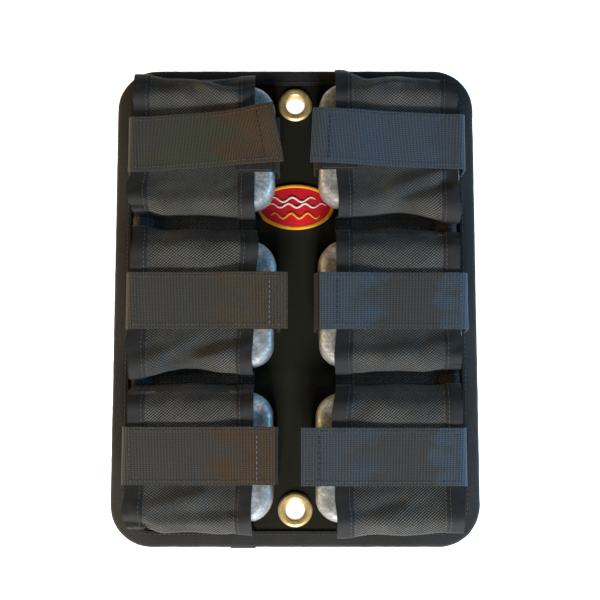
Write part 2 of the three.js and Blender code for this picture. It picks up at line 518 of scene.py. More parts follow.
@dataclass(frozen=True)
class DiagonalNylon:
    """The sleeves' coarse nylon, woven in fine diagonal ribs, with smooth hems along both edges."""

    width: float
    hem: float
    color: Color = (0.0255, 0.0255, 0.0240)
    hem_color: Color = (0.0125, 0.0125, 0.0132)
    pitch: float = 0.00140
    slant: float = -42.0
    crossing: float = 74.0
    hem_blur: float = 0.0003

    def material(self) -> Material:
        """Makes the material.

        Returns:
            The material.
        """
        mix = Recipe("diagonal_nylon", self.color, 0.7, 0.12)
        ribs = mix.ribs(mix.coords(Follow.CLOTH, self.slant), self.pitch, "X", 0.35)
        floats = mix.ribs(mix.coords(Follow.CLOTH, self.slant + self.crossing), self.pitch * 1.25, "X", 0.8)
        lint = mix.noise(mix.coords(Follow.PLACE), 0.0007, 1.0, 0.7)
        weave = mix.math("MULTIPLY", mix.math("POWER", ribs, 0.8), mix.remap(floats, 0.0, 0.7, 0.45, 1.0))
        shade = mix.math("MULTIPLY", weave, mix.remap(lint, 0.3, 0.7, 0.6, 1.3))
        dye = mix.remap(mix.noise(mix.coords(Follow.PLACE), 0.028, 3.0), 0.35, 0.65, 0, 1)
        bright = mix.blend(dye, scaled(self.color, 2.4), scaled(self.color, 4.0))
        coarse = mix.blend(shade, scaled(self.color, 0.05), bright)
        fine = mix.ribs(mix.coords(Follow.CLOTH), 0.0007, "Y", 1.2)
        rubbed = mix.remap(mix.noise(mix.coords(Follow.CLOTH, 0, (1, 3, 1)), 0.009, 3.0), 0.35, 0.7, 0.8, 1.5)
        threads = mix.math("MULTIPLY", fine, rubbed)
        smooth = mix.blend(threads, scaled(self.hem_color, 0.75), scaled(self.hem_color, 1.5))
        across = mix.node("SeparateXYZ", {}, {0: mix.coords(Follow.CLOTH)}).outputs[1]
        far = self.width - self.hem
        first = mix.remap(across, self.hem - self.hem_blur, self.hem + self.hem_blur, 1, 0)
        last = mix.remap(across, far - self.hem_blur, far + self.hem_blur, 0, 1)
        hemmed = mix.math("ADD", first, last)
        mix.paint(mix.blend(hemmed, coarse, smooth))
        mix.dull(mix.remap(weave, 0, 1, 0.85, 0.6))
        mix.emboss(mix.math("MULTIPLY", weave, mix.remap(hemmed, 0, 1, 1, 0.15)), 0.0004, 0.9)
        mix.fuzz(0.03, (0.8, 0.85, 0.9))
        return mix.material


@dataclass(frozen=True)
class DyeAndPaintedLight:
    """A strap's colour by its fold, along its middle and by its free end: partly dye, partly a painted tint
    of the warm lamp on the left and the cool lamp on the right, and for the tabs painted shade.
    """

    fold: Color
    middle: Color
    end: Color


@dataclass(frozen=True)
class RibbedWebbing:
    """A strap's ribbed webbing, whose colour differs a little from strap to strap and along it: partly dye,
    partly a painted tint of the warm left and cool right lamps.
    """

    name: str
    dye: DyeAndPaintedLight
    fold: float = 0.073
    flap: float = 0.100
    pitch: float = 0.00098
    warp_pitch: float = 0.00135
    groove: float = 0.10
    ridge: float = 2.85
    drift: float = 0.016

    def material(self) -> Material:
        """Makes the material.

        Returns:
            The material.
        """
        mix = Recipe("webbing_" + self.name, self.dye.middle, 0.8, 0.12)
        along = mix.coords(Follow.CLOTH)
        weft = mix.ribs(along, self.pitch, "X", 0.35)
        warp = mix.ribs(along, self.warp_pitch, "Y", 0.5)
        fibres = mix.noise(mix.coords(Follow.CLOTH, 0, (1, 5, 1)), 0.0012, 2.0, 0.7)
        weave = mix.math("MULTIPLY", weft, mix.remap(warp, 0, 1, 0.6, 1.0))
        weave = mix.math("MULTIPLY", weave, mix.remap(fibres, 0.3, 0.7, 0.55, 1.25))
        patches = mix.noise(mix.coords(Follow.CLOTH, 0, (1, 1.4, 1)), 0.020, 2.0)
        place = mix.node("SeparateXYZ", {}, {0: along}).outputs[0]
        drift = mix.math("ADD", place, mix.remap(patches, 0.3, 0.7, -self.drift, self.drift))
        inwards = mix.remap(drift, self.fold + 0.12 * self.flap, self.fold + 0.24 * self.flap, 0, 1)
        towards_end = mix.remap(drift, self.fold + 0.56 * self.flap, self.fold + 0.74 * self.flap, 0, 1)
        # Colour by fold, middle and end: partly dye, partly a painted tint of the side lamps, such as the
        # blue on the right straps' folds.
        dye = mix.blend(towards_end, mix.blend(inwards, self.dye.fold, self.dye.middle), self.dye.end)
        stretch = {"data_type": "RGBA", "blend_type": "MULTIPLY"}
        dark, light = (
            mix.node("Mix", stretch, {0: 1.0, 6: dye, 7: (amount, amount, amount, 1)}).outputs[2]
            for amount in (self.groove, self.ridge)
        )
        mix.paint(mix.blend(weave, dark, light))
        mix.emboss(weave, 0.00035, 0.8)
        mix.fuzz(0.06, (0.8, 0.85, 0.9))
        return mix.material


@dataclass(frozen=True)
class PlainCloth:
    """A close plain weave, for the panel's faces and its edge tape."""

    name: str
    color: Color
    pitch: float = 0.0009
    depth: float = 0.00015
    contrast: float = 0.4
    sheen: float = 0.04
    gloss: float = 0.08

    def material(self) -> Material:
        """Makes the material.

        Returns:
            The material.
        """
        mix = Recipe(self.name, self.color, 0.85, self.gloss)
        place = mix.coords(Follow.PLACE)
        across = mix.ribs(place, self.pitch, "X", 0.5)
        up = mix.ribs(place, self.pitch * 1.1, "Y", 0.5)
        weave = mix.math("MAXIMUM", across, up)
        wear = mix.noise(place, 0.045, 4.0, 0.6)
        lint = mix.noise(place, 0.0012, 2.0, 0.7)
        shade = mix.math("MULTIPLY", weave, mix.remap(lint, 0.25, 0.75, 0.55, 1.2))
        dark, light = scaled(self.color, 1 - self.contrast), scaled(self.color, 1 + self.contrast)
        worn = mix.blend(mix.remap(wear, 0.45, 0.75, 0, 0.5), light, scaled(self.color, 2.0))
        mix.paint(mix.blend(shade, dark, worn))
        mix.dull(mix.remap(wear, 0.3, 0.7, 0.92, 0.72))
        mix.emboss(weave, self.depth, 0.6)
        mix.fuzz(self.sheen, (0.8, 0.8, 0.85))
        return mix.material


@dataclass(frozen=True)
class CastLead:
    """Lead as cast: dull, mottled and pitted, with brighter rubbed spots."""

    color: Color = (0.235, 0.24, 0.245)
    rubbed: Color = (0.48, 0.49, 0.50)

    def material(self) -> Material:
        """Makes the material.

        Returns:
            The material.
        """
        mix = Recipe("cast_lead", self.color, 0.5, 0.4, 0.35)
        place = mix.coords(Follow.PLACE)
        mottle = mix.remap(mix.noise(place, 0.010, 5.0, 0.65), 0.35, 0.65, 0, 1)
        grain = mix.noise(place, 0.0022, 3.0, 0.7)
        pits = mix.cells(place, 380.0)
        spots = mix.math("MULTIPLY", mix.remap(grain, 0.4, 0.65, 0, 1), mix.remap(mottle, 0, 1, 0.15, 0.9))
        body = mix.blend(mottle, scaled(self.color, 0.62), self.color)
        mix.paint(mix.blend(spots, body, self.rubbed))
        mix.dull(mix.remap(grain, 0.3, 0.7, 0.68, 0.42))
        relief = mix.math("ADD", mix.math("MULTIPLY", grain, 0.7), mix.remap(pits, 0.0, 0.35, 0.0, 0.3))
        mix.emboss(relief, 0.0006, 0.8)
        return mix.material


@dataclass(frozen=True)
class WornBrass:
    """A grommet's stamped brass, with fine scratches and dulled spots."""

    color: Color = (0.78, 0.57, 0.25)

    def material(self) -> Material:
        """Makes the material.

        Returns:
            The material.
        """
        mix = Recipe("worn_brass", self.color, 0.38, 0.5, 0.7)
        place = mix.coords(Follow.PLACE)
        tarnish = mix.noise(place, 0.006, 4.0, 0.6)
        scratches = mix.noise(mix.coords(Follow.PLACE, 25, (1, 14, 1)), 0.004, 3.0, 0.7)
        dulled = mix.remap(tarnish, 0.35, 0.7, 0, 1)
        mix.paint(mix.blend(dulled, scaled(self.color, 1.15), scaled(self.color, 0.6)))
        mix.dull(mix.remap(scratches, 0.3, 0.7, 0.3, 0.5))
        mix.emboss(scratches, 0.00006, 0.5)
        return mix.material


@dataclass(frozen=True)
class Pile:
    """The furry or bristly face of hook and loop tape."""

    name: str
    color: Color
    size: float

    def material(self) -> Material:
        """Makes the material.

        Returns:
            The material.
        """
        mix = Recipe(self.name, self.color, 0.95, 0.1)
        place = mix.coords(Follow.CLOTH)
        tufts = mix.cells(place, 1 / self.size)
        fluff = mix.noise(place, self.size * 2.5, 3.0, 0.7)
        height = mix.math("MULTIPLY", mix.remap(tufts, 0, 0.6, 1, 0), mix.remap(fluff, 0.3, 0.7, 0.5, 1))
        mix.paint(mix.blend(height, scaled(self.color, 0.4), scaled(self.color, 1.7)))
        mix.emboss(height, 0.0004, 1.0)
        mix.fuzz(0.3, (0.7, 0.7, 0.75))
        return mix.material


@dataclass(frozen=True)
class Thread:
    """Twisted or embroidered thread."""

    name: str
    color: Color
    pitch: float = 0.0006
    turn: float = 30.0

    def material(self) -> Material:
        """Makes the material.

        Returns:
            The material.
        """
        mix = Recipe(self.name, self.color, 0.6, 0.2)
        twist = mix.ribs(mix.coords(Follow.PLACE, self.turn), self.pitch, "X", 0.5)
        stain = mix.noise(mix.coords(Follow.PLACE), 0.004, 2.0)
        shade = mix.math("MULTIPLY", twist, mix.remap(stain, 0.3, 0.7, 0.7, 1.1))
        mix.paint(mix.blend(shade, scaled(self.color, 0.6), scaled(self.color, 1.15)))
        mix.emboss(twist, 0.00012, 0.7)
        mix.fuzz(0.15, self.color)
        return mix.material


@dataclass(frozen=True)
class MouldedBoard:
    """The stiff sheet inside the pad, with its fine moulded grain."""

    color: Color = (0.03, 0.03, 0.03)

    def material(self) -> Material:
        """Makes the material.

        Returns:
            The material.
        """
        mix = Recipe("moulded_board", self.color, 0.5)
        grain = mix.noise(mix.coords(Follow.PLACE), 0.0008, 3.0, 0.6)
        mix.paint(mix.blend(grain, scaled(self.color, 0.8), scaled(self.color, 1.3)))
        mix.emboss(grain, 0.0001, 0.4)
        return mix.material


# ---------------------------------------------------------------------------
# Strips and seams
# ---------------------------------------------------------------------------


@dataclass(frozen=True)
class Bend:
    """A corner of a strip's route, in a plane that stands on the pad, and how round it is."""

    along: float
    height: float
    radius: float = 0.0


def rounded_route(bends: Sequence[Bend]) -> list[Vector]:
    """Draws a line through bends, each rounded by an arc.

    Args:
        bends: The line's ends and corners.

    Returns:
        Points along the line, close together on its arcs.
    """
    corners = [Vector((b.along, b.height)) for b in bends]
    points = [corners[0]]
    for before, corner, after, bend in zip(corners, corners[1:], corners[2:], bends[1:]):
        back, ahead = before - corner, after - corner
        opening = back.angle(ahead)
        reach = bend.radius / max(math.tan(opening / 2), 1e-6)
        reach = min(reach, 0.49 * back.length, 0.49 * ahead.length)
        start, end = corner + back.normalized() * reach, corner + ahead.normalized() * reach
        steps = max(1, round(math.degrees(math.pi - opening) / 7))
        for i in range(steps + 1):
            t = i / steps
            points.append(start * (1 - t) ** 2 + corner * (2 * t * (1 - t)) + end * t * t)
    return points + [corners[-1]]


def evenly_spaced(points: Sequence[Vector], spacing: float) -> list[Vector]:
    """Spaces points evenly along a line.

    Args:
        points: The line's points.
        spacing: About how far apart the new points are.

    Returns:
        The new points, from the line's start to its end.
    """
    gaps = [(b - a).length for a, b in zip(points, points[1:])]
    total = sum(gaps)
    count = max(2, round(total / spacing))
    found, walked, i = [points[0].copy()], 0.0, 0
    for n in range(1, count):
        target = total * n / count
        while walked + gaps[i] < target:
            walked += gaps[i]
            i += 1
        share = (target - walked) / max(gaps[i], 1e-12)
        found.append(points[i].lerp(points[i + 1], share))
    return found + [points[-1].copy()]


@dataclass
class Strip:
    """A flat strip of cloth or webbing that is folded along a route, row by row, as a sewer folds it."""

    name: str
    width: float
    bends: Sequence[Bend]
    spacing: float = 0.0015
    columns: int = 14
    route: list[Vector] = field(init=False)
    piece: Piece = field(init=False)

    def __post_init__(self) -> None:
        """Draws the route, cuts the flat strip and folds it along the route."""
        self.route = evenly_spaced(rounded_route(self.bends), self.spacing)
        self.rows = len(self.route) - 1
        self.step = sum((b - a).length for a, b in zip(self.route, self.route[1:])) / self.rows
        self.cut()
        self.fold()

    @property
    def length(self) -> float:
        """The flat strip's length."""
        return self.rows * self.step

    def cut(self) -> None:
        """Lays out the flat strip along X from the origin, with its length and width in its UV map."""
        bpy.ops.object.select_all(action="DESELECT")
        bpy.ops.mesh.primitive_grid_add(x_subdivisions=self.rows, y_subdivisions=self.columns, size=1)
        self.piece = bpy.context.object
        self.piece.name = self.name
        self.piece.scale = (self.length, self.width, 1)
        self.piece.location.x = self.length / 2
        bpy.ops.object.transform_apply(location=True, rotation=True, scale=True)
        layer = self.piece.data.uv_layers.active
        for loop in layer.data:
            loop.uv = (loop.uv[0] * self.length, loop.uv[1] * self.width)

    def fold(self) -> None:
        """Turns all that lies past each row until the strip follows its route."""
        stride = self.rows + 1
        start = self.route[0]
        with Editing(self.piece) as edit:
            bpy.ops.mesh.select_all(action="SELECT")
            bpy.ops.transform.translate(value=(start.x, 0, start.y))
            mesh = edit.mesh()
            mesh.verts.ensure_lookup_table()
            heading = 0.0
            for i in range(self.rows):
                step = self.route[i + 1] - self.route[i]
                angle = math.atan2(step.y, step.x)
                turn = math.remainder(angle - heading, math.tau)
                for column in range(self.columns + 1):
                    mesh.verts[column * stride + i].select_set(False)
                mesh.select_flush(False)
                if abs(turn) > SMALLEST_TURN:
                    point = self.route[i]
                    bpy.ops.transform.rotate(
                        value=turn, orient_axis="Y", center_override=(point.x, 0, point.y)
                    )
                heading = angle

    def lean(self, from_row: int, rows: int, angle: float) -> None:
        """Turns the rest of the strip sideways, a little at each of some rows.

        Args:
            from_row: The first row that turns.
            rows: Over how many rows it turns.
            angle: How far it turns in all, in radians, seen from above.
        """
        stride = self.rows + 1
        with Editing(self.piece) as edit:
            for i in range(from_row, from_row + rows):
                point = self.route[i]
                edit.pick("VERT", lambda vert, i=i: vert.index % stride > i)
                bpy.ops.transform.rotate(
                    value=-angle / rows, orient_axis="Z", center_override=(point.x, 0, point.y)
                )

    def set_across(self, middle: float) -> None:
        """Moves the strip so that its middle line is at a place on Y.

        Args:
            middle: The place on Y.
        """
        self.piece.location.y = middle
        hold(self.piece)
        bpy.ops.object.transform_apply(location=True, rotation=True, scale=True)

    def turn_up_pad(self, middle: float) -> None:
        """Turns a strip from X onto Y, and moves its middle line to a place on X.

        Args:
            middle: The place on X.
        """
        self.piece.rotation_euler.z = math.pi / 2
        self.piece.location.x = middle
        hold(self.piece)
        bpy.ops.object.transform_apply(location=True, rotation=True, scale=True)

    def row_at(self, wanted: float) -> int:
        """Gives the row at a distance from the strip's start, or from its end if it is negative."""
        distance = wanted if wanted >= 0 else self.length + wanted
        return max(0, min(self.rows, round(distance / self.step)))

    def stitch_line(
        self, direction: Direction, at: float, start: float, end: float, lift: float
    ) -> list[Vector]:
        """Finds a line on the strip for a row of stitches.

        Args:
            direction: Whether it runs along the strip or across it.
            at: The line's distance from the middle line, or from the strip's start if it runs across.
            start: Where it begins.
            end: Where it stops.
            lift: How far it is off the strip's middle layer, on its upper side.

        Returns:
            The line's points.
        """
        stride = self.rows + 1
        vertices = self.piece.data.vertices
        if direction is Direction.ALONG:
            column = round((at / self.width + 0.5) * self.columns)
            keys = [column * stride + i for i in range(self.row_at(start), self.row_at(end) + 1)]
        else:
            row = self.row_at(at)
            first, last = (round((x / self.width + 0.5) * self.columns) for x in (start, end))
            keys = [column * stride + row for column in range(first, last + 1)]
        return [vertices[k].co + vertices[k].normal * lift for k in keys]


@dataclass
class Stitching:
    """Rows of thread stitches that are sewn into one piece."""

    name: str
    pitch: float = 0.0032
    thread: float = 0.00026
    share: float = 0.74
    rows: list[list[Vector]] = field(default_factory=list)

    def sew(self, line: Sequence[Vector]) -> None:
        """Adds a row of stitches along a line."""
        self.rows.append(list(line))

    def stitch(self) -> Piece:
        """Makes one stitch, lying along X from the origin, with ends that dip into the cloth.

        Returns:
            The stitch.
        """
        length = self.pitch * self.share
        bpy.ops.object.select_all(action="DESELECT")
        bpy.ops.mesh.primitive_cylinder_add(
            vertices=6, radius=self.thread, depth=length, end_fill_type="NGON", rotation=(0, math.pi / 2, 0)
        )
        piece = bpy.context.object
        piece.location.x = self.pitch / 2
        bpy.ops.object.transform_apply(location=True, rotation=True, scale=True)
        with Editing(piece) as edit:
            edit.pick("EDGE", lambda edge: abs(edge.verts[0].co.x - edge.verts[1].co.x) > length / 2)
            bpy.ops.mesh.subdivide(number_cuts=3)
            for end in (self.pitch / 2 - length / 2, self.pitch / 2 + length / 2):
                edit.pick("VERT", lambda vert, end=end: abs(vert.co.x - end) < NEAR)
                bpy.ops.transform.resize(value=(1, 0.5, 0.5), center_override=(end, 0, 0))
                bpy.ops.transform.translate(value=(0, 0, -self.thread * 1.2))
        return piece

    def lay(self, stitch: Piece, line: Sequence[Vector], name: str) -> Piece:
        """Repeats the stitch along a line.

        Args:
            stitch: One stitch.
            line: The line's points.
            name: The row's name.

        Returns:
            The row of stitches.
        """
        curve = bpy.data.curves.new(name + "_line", "CURVE")
        curve.dimensions = "3D"
        spline = curve.splines.new("POLY")
        spline.points.add(len(line) - 1)
        for point, place in zip(spline.points, line):
            point.co = (*place, 1.0)
        guide = bpy.data.objects.new(name + "_line", curve)
        bpy.context.collection.objects.link(guide)
        row = copy_piece(stitch)
        length = sum((b - a).length for a, b in zip(line, line[1:]))
        apply_modifier(
            row,
            "ARRAY",
            fit_type="FIXED_COUNT",
            count=max(1, int(length / self.pitch)),
            use_relative_offset=False,
            use_constant_offset=True,
            constant_offset_displace=(self.pitch, 0, 0),
        )
        apply_modifier(row, "CURVE", object=guide, deform_axis="POS_X")
        bpy.data.objects.remove(guide)
        return row

    def finish(self, material: Material, slot: str, body: str) -> Piece:
        """Sews every row and makes them one piece.

        Args:
            material: The thread's material.
            slot: The record's material slot; not used.
            body: The body it rides on.

        Returns:
            The piece.
        """
        stitch = self.stitch()
        rows = [self.lay(stitch, line, f"{self.name}_{i}") for i, line in enumerate(self.rows)]
        bpy.data.objects.remove(stitch)
        piece = set_down(join(rows, self.name), self.name, 60)
        return dress(piece, material, body)


# ---------------------------------------------------------------------------
# The pad's panel
# ---------------------------------------------------------------------------


@dataclass
class Panel:
    """The pad's cloth faces over their stiff board, and the tape folded round their edge."""

    corner: float = 0.028
    leg: float = 0.0105
    tape: float = 0.0009
    softness: float = 0.0022
    hole: float = 0.0074
    cell: float = 0.004
    under_tape: float = 0.0011
    seam: float = 0.0018
    lap: float = 0.9
    back_lift: float = 0.0003
    joint_from: float = -0.044
    joint_to: float = -0.0265
    edge_cuts: int = 79

    def build(self, front: Material, back: Material, tape: Material, thread: Material) -> None:
        """Builds the panel.

        Args:
            front: The front cloth's material.
            back: The back cloth's material.
            tape: The edge tape's material.
            thread: The stitches' material.
        """
        dress(self.cloth("front_cloth", "panel_front"), front, "pad", ["front_cloth"])
        dress(self.cloth("back_cloth", "panel_back"), back, "pad", ["back_cloth"])
        dress(self.edge_tape(), tape, "pad", ["edge_binding"])
        self.edge_stitches(thread)

    def cloth(self, node: str, name: str) -> Piece:
        """Cuts one face of cloth to its node's outline, with round corners and a hole for each grommet.

        Args:
            node: The frame's node that it stands for.
            name: The piece's name.

        Returns:
            The piece.
        """
        low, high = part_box(node)
        size = high - low
        bpy.ops.object.select_all(action="DESELECT")
        bpy.ops.mesh.primitive_grid_add(
            x_subdivisions=round(size.x / self.cell), y_subdivisions=round(size.y / self.cell), size=1
        )
        piece = bpy.context.object
        piece.scale = (size.x, size.y, 1)
        piece.location = ((low.x + high.x) / 2, (low.y + high.y) / 2, high.z)
        bpy.ops.object.transform_apply(location=True, rotation=True, scale=True)
        self.round_corners(piece, size, high.z)
        roughen(piece, clouds("panel_slack", 0.03), 0.0002)
        apply_modifier(piece, "SOLIDIFY", thickness=size.z, offset=-1.0)
        for place in ("top", "bottom"):
            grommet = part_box("grommet_" + place)
            middle = (grommet[0] + grommet[1]) / 2
            bpy.ops.mesh.primitive_cylinder_add(vertices=40, radius=self.hole, depth=0.03, location=middle)
            punch = bpy.context.object
            apply_modifier(piece, "BOOLEAN", object=punch, operation="DIFFERENCE", solver="EXACT")
            bpy.data.objects.remove(punch)
        return set_down(piece, name)

    def round_corners(self, piece: Piece, size: Vector, height: float) -> None:
        """Cuts a flat sheet's four corners round.

        Args:
            piece: The sheet.
            size: Its size.
            height: Its height.
        """
        radius = self.corner - self.under_tape
        with Editing(piece):
            for x in (-1, 1):
                for y in (-1, 1):
                    middle = Vector((x * (size.x / 2 - radius), y * (size.y / 2 - radius), height))
                    for i in range(1, 12):
                        angle = math.radians(i * 7.5)
                        out = Vector((x * math.cos(angle), y * math.sin(angle), 0))
                        bpy.ops.mesh.select_all(action="SELECT")
                        bpy.ops.mesh.bisect(plane_co=middle + out * radius, plane_no=out, clear_outer=True)

    def edge_tape(self) -> Piece:
        """Folds a tape round the pad's edge, with its ends lapped near the middle of the bottom edge.

        Returns:
            The tape.
        """
        low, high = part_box("edge_binding")
        size = high - low
        bpy.ops.object.select_all(action="DESELECT")
        bpy.ops.mesh.primitive_plane_add(size=1)
        piece = bpy.context.object
        piece.scale = (size.x, size.y, 1)
        floor = low.z + self.back_lift
        piece.location = ((low.x + high.x) / 2, (low.y + high.y) / 2, floor)
        bpy.ops.object.transform_apply(location=True, rotation=True, scale=True)
        with Editing(piece) as edit:
            bpy.ops.mesh.select_all(action="SELECT")
            bpy.ops.mesh.bevel(offset=self.corner, segments=16, affect="VERTICES")
            bpy.ops.mesh.select_all(action="SELECT")
            bpy.ops.mesh.extrude_region_move(TRANSFORM_OT_translate={"value": (0, 0, high.z - floor)})
            edit.pick("EDGE", lambda edge: abs(edge.verts[0].co.z - edge.verts[1].co.z) < 1e-6)
            bpy.ops.mesh.bevel(offset=self.softness, segments=4, affect="EDGES")
            for level in (floor, high.z):
                edit.pick("FACE", lambda face, z=level: self.is_cover(face, z))
                bpy.ops.mesh.inset(thickness=self.leg - self.softness)
                bpy.ops.mesh.delete(type="FACE")
            edit.pick("EDGE", lambda edge: edge.calc_length() > 0.1)
            bpy.ops.mesh.subdivide(number_cuts=self.edge_cuts)
            edit.pick("FACE", lambda face: self.in_joint(face.calc_center_median()))
            bpy.ops.mesh.duplicate()
            bpy.ops.transform.shrink_fatten(value=self.tape * self.lap)
        apply_modifier(piece, "SOLIDIFY", thickness=self.tape, offset=-1.0)
        roughen(piece, clouds("tape_pucker", 0.006), 0.0004)
        return set_down(piece, "edge_tape", 50)

    def is_cover(self, face: bmesh.types.BMFace, height: float) -> bool:
        """Says whether a face covers the whole pad at a height, as the tape's front and back do at first."""
        return len(face.verts) > 8 and abs(face.calc_center_median().z - height) < NEAR

    def in_joint(self, place: Vector) -> bool:
        """Says whether a place is on the tape's lapped ends."""
        return self.joint_from < place.x < self.joint_to and place.y < -0.15 and place.z > 0.002

    def outline(self, inset: float, height: float) -> list[Vector]:
        """Draws the pad's outline, some way in from its edge.

        Args:
            inset: How far in it is.
            height: Its height.

        Returns:
            The outline's points, with the first one repeated at the end.
        """
        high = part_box("edge_binding")[1]
        radius = self.corner - inset
        points = []
        for turn in range(4):
            quarter = turn * math.pi / 2
            x = (1 if turn in (0, 3) else -1) * (high.x - self.corner)
            y = (1 if turn in (0, 1) else -1) * (high.y - self.corner)
            for i in range(13):
                angle = quarter + math.radians(i * 7.5)
                points.append(Vector((x + radius * math.cos(angle), y + radius * math.sin(angle), height)))
        return points + [points[0].copy()]

    def edge_stitches(self, thread: Material) -> None:
        """Sews the edge tape down, through to the back.

        Args:
            thread: The stitches' material.
        """
        low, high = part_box("edge_binding")
        seam = Stitching("edge_tape_stitches")
        seam.sew(self.outline(self.leg - self.seam, high.z + 0.0002))
        seam.sew(self.outline(self.leg - self.seam, low.z + 0.0004))
        seam.finish(thread, "binding", "pad")


@dataclass
class Grommet:
    """A stamped grommet, spun from one section: a domed flange, a barrel and a rim rolled over its washer."""

    place: str
    hole: float = 0.00635
    wall: float = 0.00075
    dome: float = 0.0019
    roll: float = 0.0012
    crimp: float = 0.00035
    rounding: float = 0.00042
    steps: int = 56
    flange_steps: tuple[float, float, float] = (0.0014, 0.0018, 0.0014)
    sunk_rings: tuple[tuple[float, float, float], ...] = (
        (0.005, 1.0, 0.0012),
        (-1.0, 0.0001, 0.0013),
        (-1.0, 0.001, 0.0003),
    )

    def build(self, brass: Material) -> None:
        """Builds the grommet and its washer.

        Args:
            brass: The material.
        """
        low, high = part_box("grommet_" + self.place)
        middle = (low + high) / 2
        ring = self.spun_ring(middle, low.z, high.z - self.dome)
        dress(set_down(ring, f"grommet_{self.place}_ring"), brass, "pad", ["grommet_" + self.place])
        washer = self.spun_washer(middle)
        node = "grommet_washer_" + self.place
        dress(set_down(washer, f"grommet_{self.place}_washer"), brass, "pad", [node])

    def section(self, middle: Vector, left: float, right: float, low: float, high: float) -> Piece:
        """Starts a ring's section as one face that stands on the pad.

        Args:
            middle: The ring's middle.
            left: The face's inner radius.
            right: The face's outer radius.
            low: The face's lowest height.
            high: The face's highest height.

        Returns:
            The section.
        """
        bpy.ops.object.select_all(action="DESELECT")
        bpy.ops.mesh.primitive_plane_add(size=1, rotation=(math.pi / 2, 0, 0))
        piece = bpy.context.object
        piece.scale = (right - left, high - low, 1)
        piece.location = (middle.x + (left + right) / 2, middle.y, (low + high) / 2)
        bpy.ops.object.transform_apply(location=True, rotation=True, scale=True)
        return piece

    def spin(self, piece: Piece, middle: Vector) -> Piece:
        """Spins a section round a grommet's axis.

        Args:
            piece: The section.
            middle: The grommet's middle.

        Returns:
            The ring.
        """
        with Editing(piece):
            bpy.ops.mesh.select_all(action="SELECT")
            bpy.ops.mesh.delete(type="ONLY_FACE")
            bpy.ops.mesh.select_all(action="SELECT")
            bpy.ops.mesh.spin(steps=self.steps, angle=math.tau, center=(*middle.xy, 0), axis=(0, 0, 1))
        face_outwards(piece)
        return piece

    def spun_ring(self, middle: Vector, low: float, seat: float) -> Piece:
        """Makes the flange, barrel and rolled rim.

        Args:
            middle: The grommet's middle.
            low: Where its rolled rim ends.
            seat: Where its flange sits on the cloth.

        Returns:
            The ring.
        """
        inner = middle.x + self.hole
        piece = self.section(middle, self.hole, self.hole + self.wall, seat, seat + self.dome)
        with Editing(piece) as edit:
            edit.pick("EDGE", lambda edge: all(v.co.x > inner + self.wall / 2 for v in edge.verts))
            for step in self.flange_steps:
                bpy.ops.mesh.extrude_region_move(TRANSFORM_OT_translate={"value": (step, 0, 0)})
            top = seat + self.dome / 2
            for begin, end, sink in self.sunk_rings:
                left, right = inner + begin, inner + end
                edit.pick("VERT", lambda vert, a=left, b=right: vert.co.z > top and a < vert.co.x < b)
                bpy.ops.transform.translate(value=(0, 0, -sink))
            edit.pick("EDGE", lambda edge: self.is_within(edge, -1.0, inner + 0.001, seat + 0.0001))
            drop = low + self.crimp - seat
            bpy.ops.mesh.extrude_region_move(TRANSFORM_OT_translate={"value": (0, 0, drop)})
            bpy.ops.mesh.extrude_region_move(TRANSFORM_OT_translate={"value": (0, 0, -self.crimp)})
            barrel = inner + self.wall - NEAR
            edit.pick("EDGE", lambda edge: self.is_within(edge, barrel, 1.0, low + 0.0004))
            bpy.ops.mesh.extrude_region_move(TRANSFORM_OT_translate={"value": (self.roll, 0, 0)})
            bpy.ops.mesh.select_all(action="SELECT")
            bpy.ops.mesh.remove_doubles(threshold=MERGE_DISTANCE)
            bpy.ops.mesh.dissolve_faces()
            bpy.ops.mesh.select_all(action="SELECT")
            bpy.ops.mesh.bevel(offset=self.rounding, segments=4, affect="VERTICES")
        return self.spin(piece, middle)

    def is_within(self, edge: bmesh.types.BMEdge, left: float, right: float, top: float) -> bool:
        """Says whether an edge lies between two places on X and under a height."""
        return all(left < v.co.x < right and v.co.z < top for v in edge.verts)

    def spun_washer(self, middle: Vector) -> Piece:
        """Makes the washer on the back.

        Args:
            middle: The grommet's middle.

        Returns:
            The washer.
        """
        low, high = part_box("grommet_washer_" + self.place)
        outer = (high.x - low.x) / 2
        piece = self.section(middle, self.hole + self.wall + 0.0001, outer, low.z, high.z)
        with Editing(piece):
            bpy.ops.mesh.select_all(action="SELECT")
            bpy.ops.mesh.bevel(offset=0.00012, segments=2, affect="VERTICES")
        return self.spin(piece, middle)


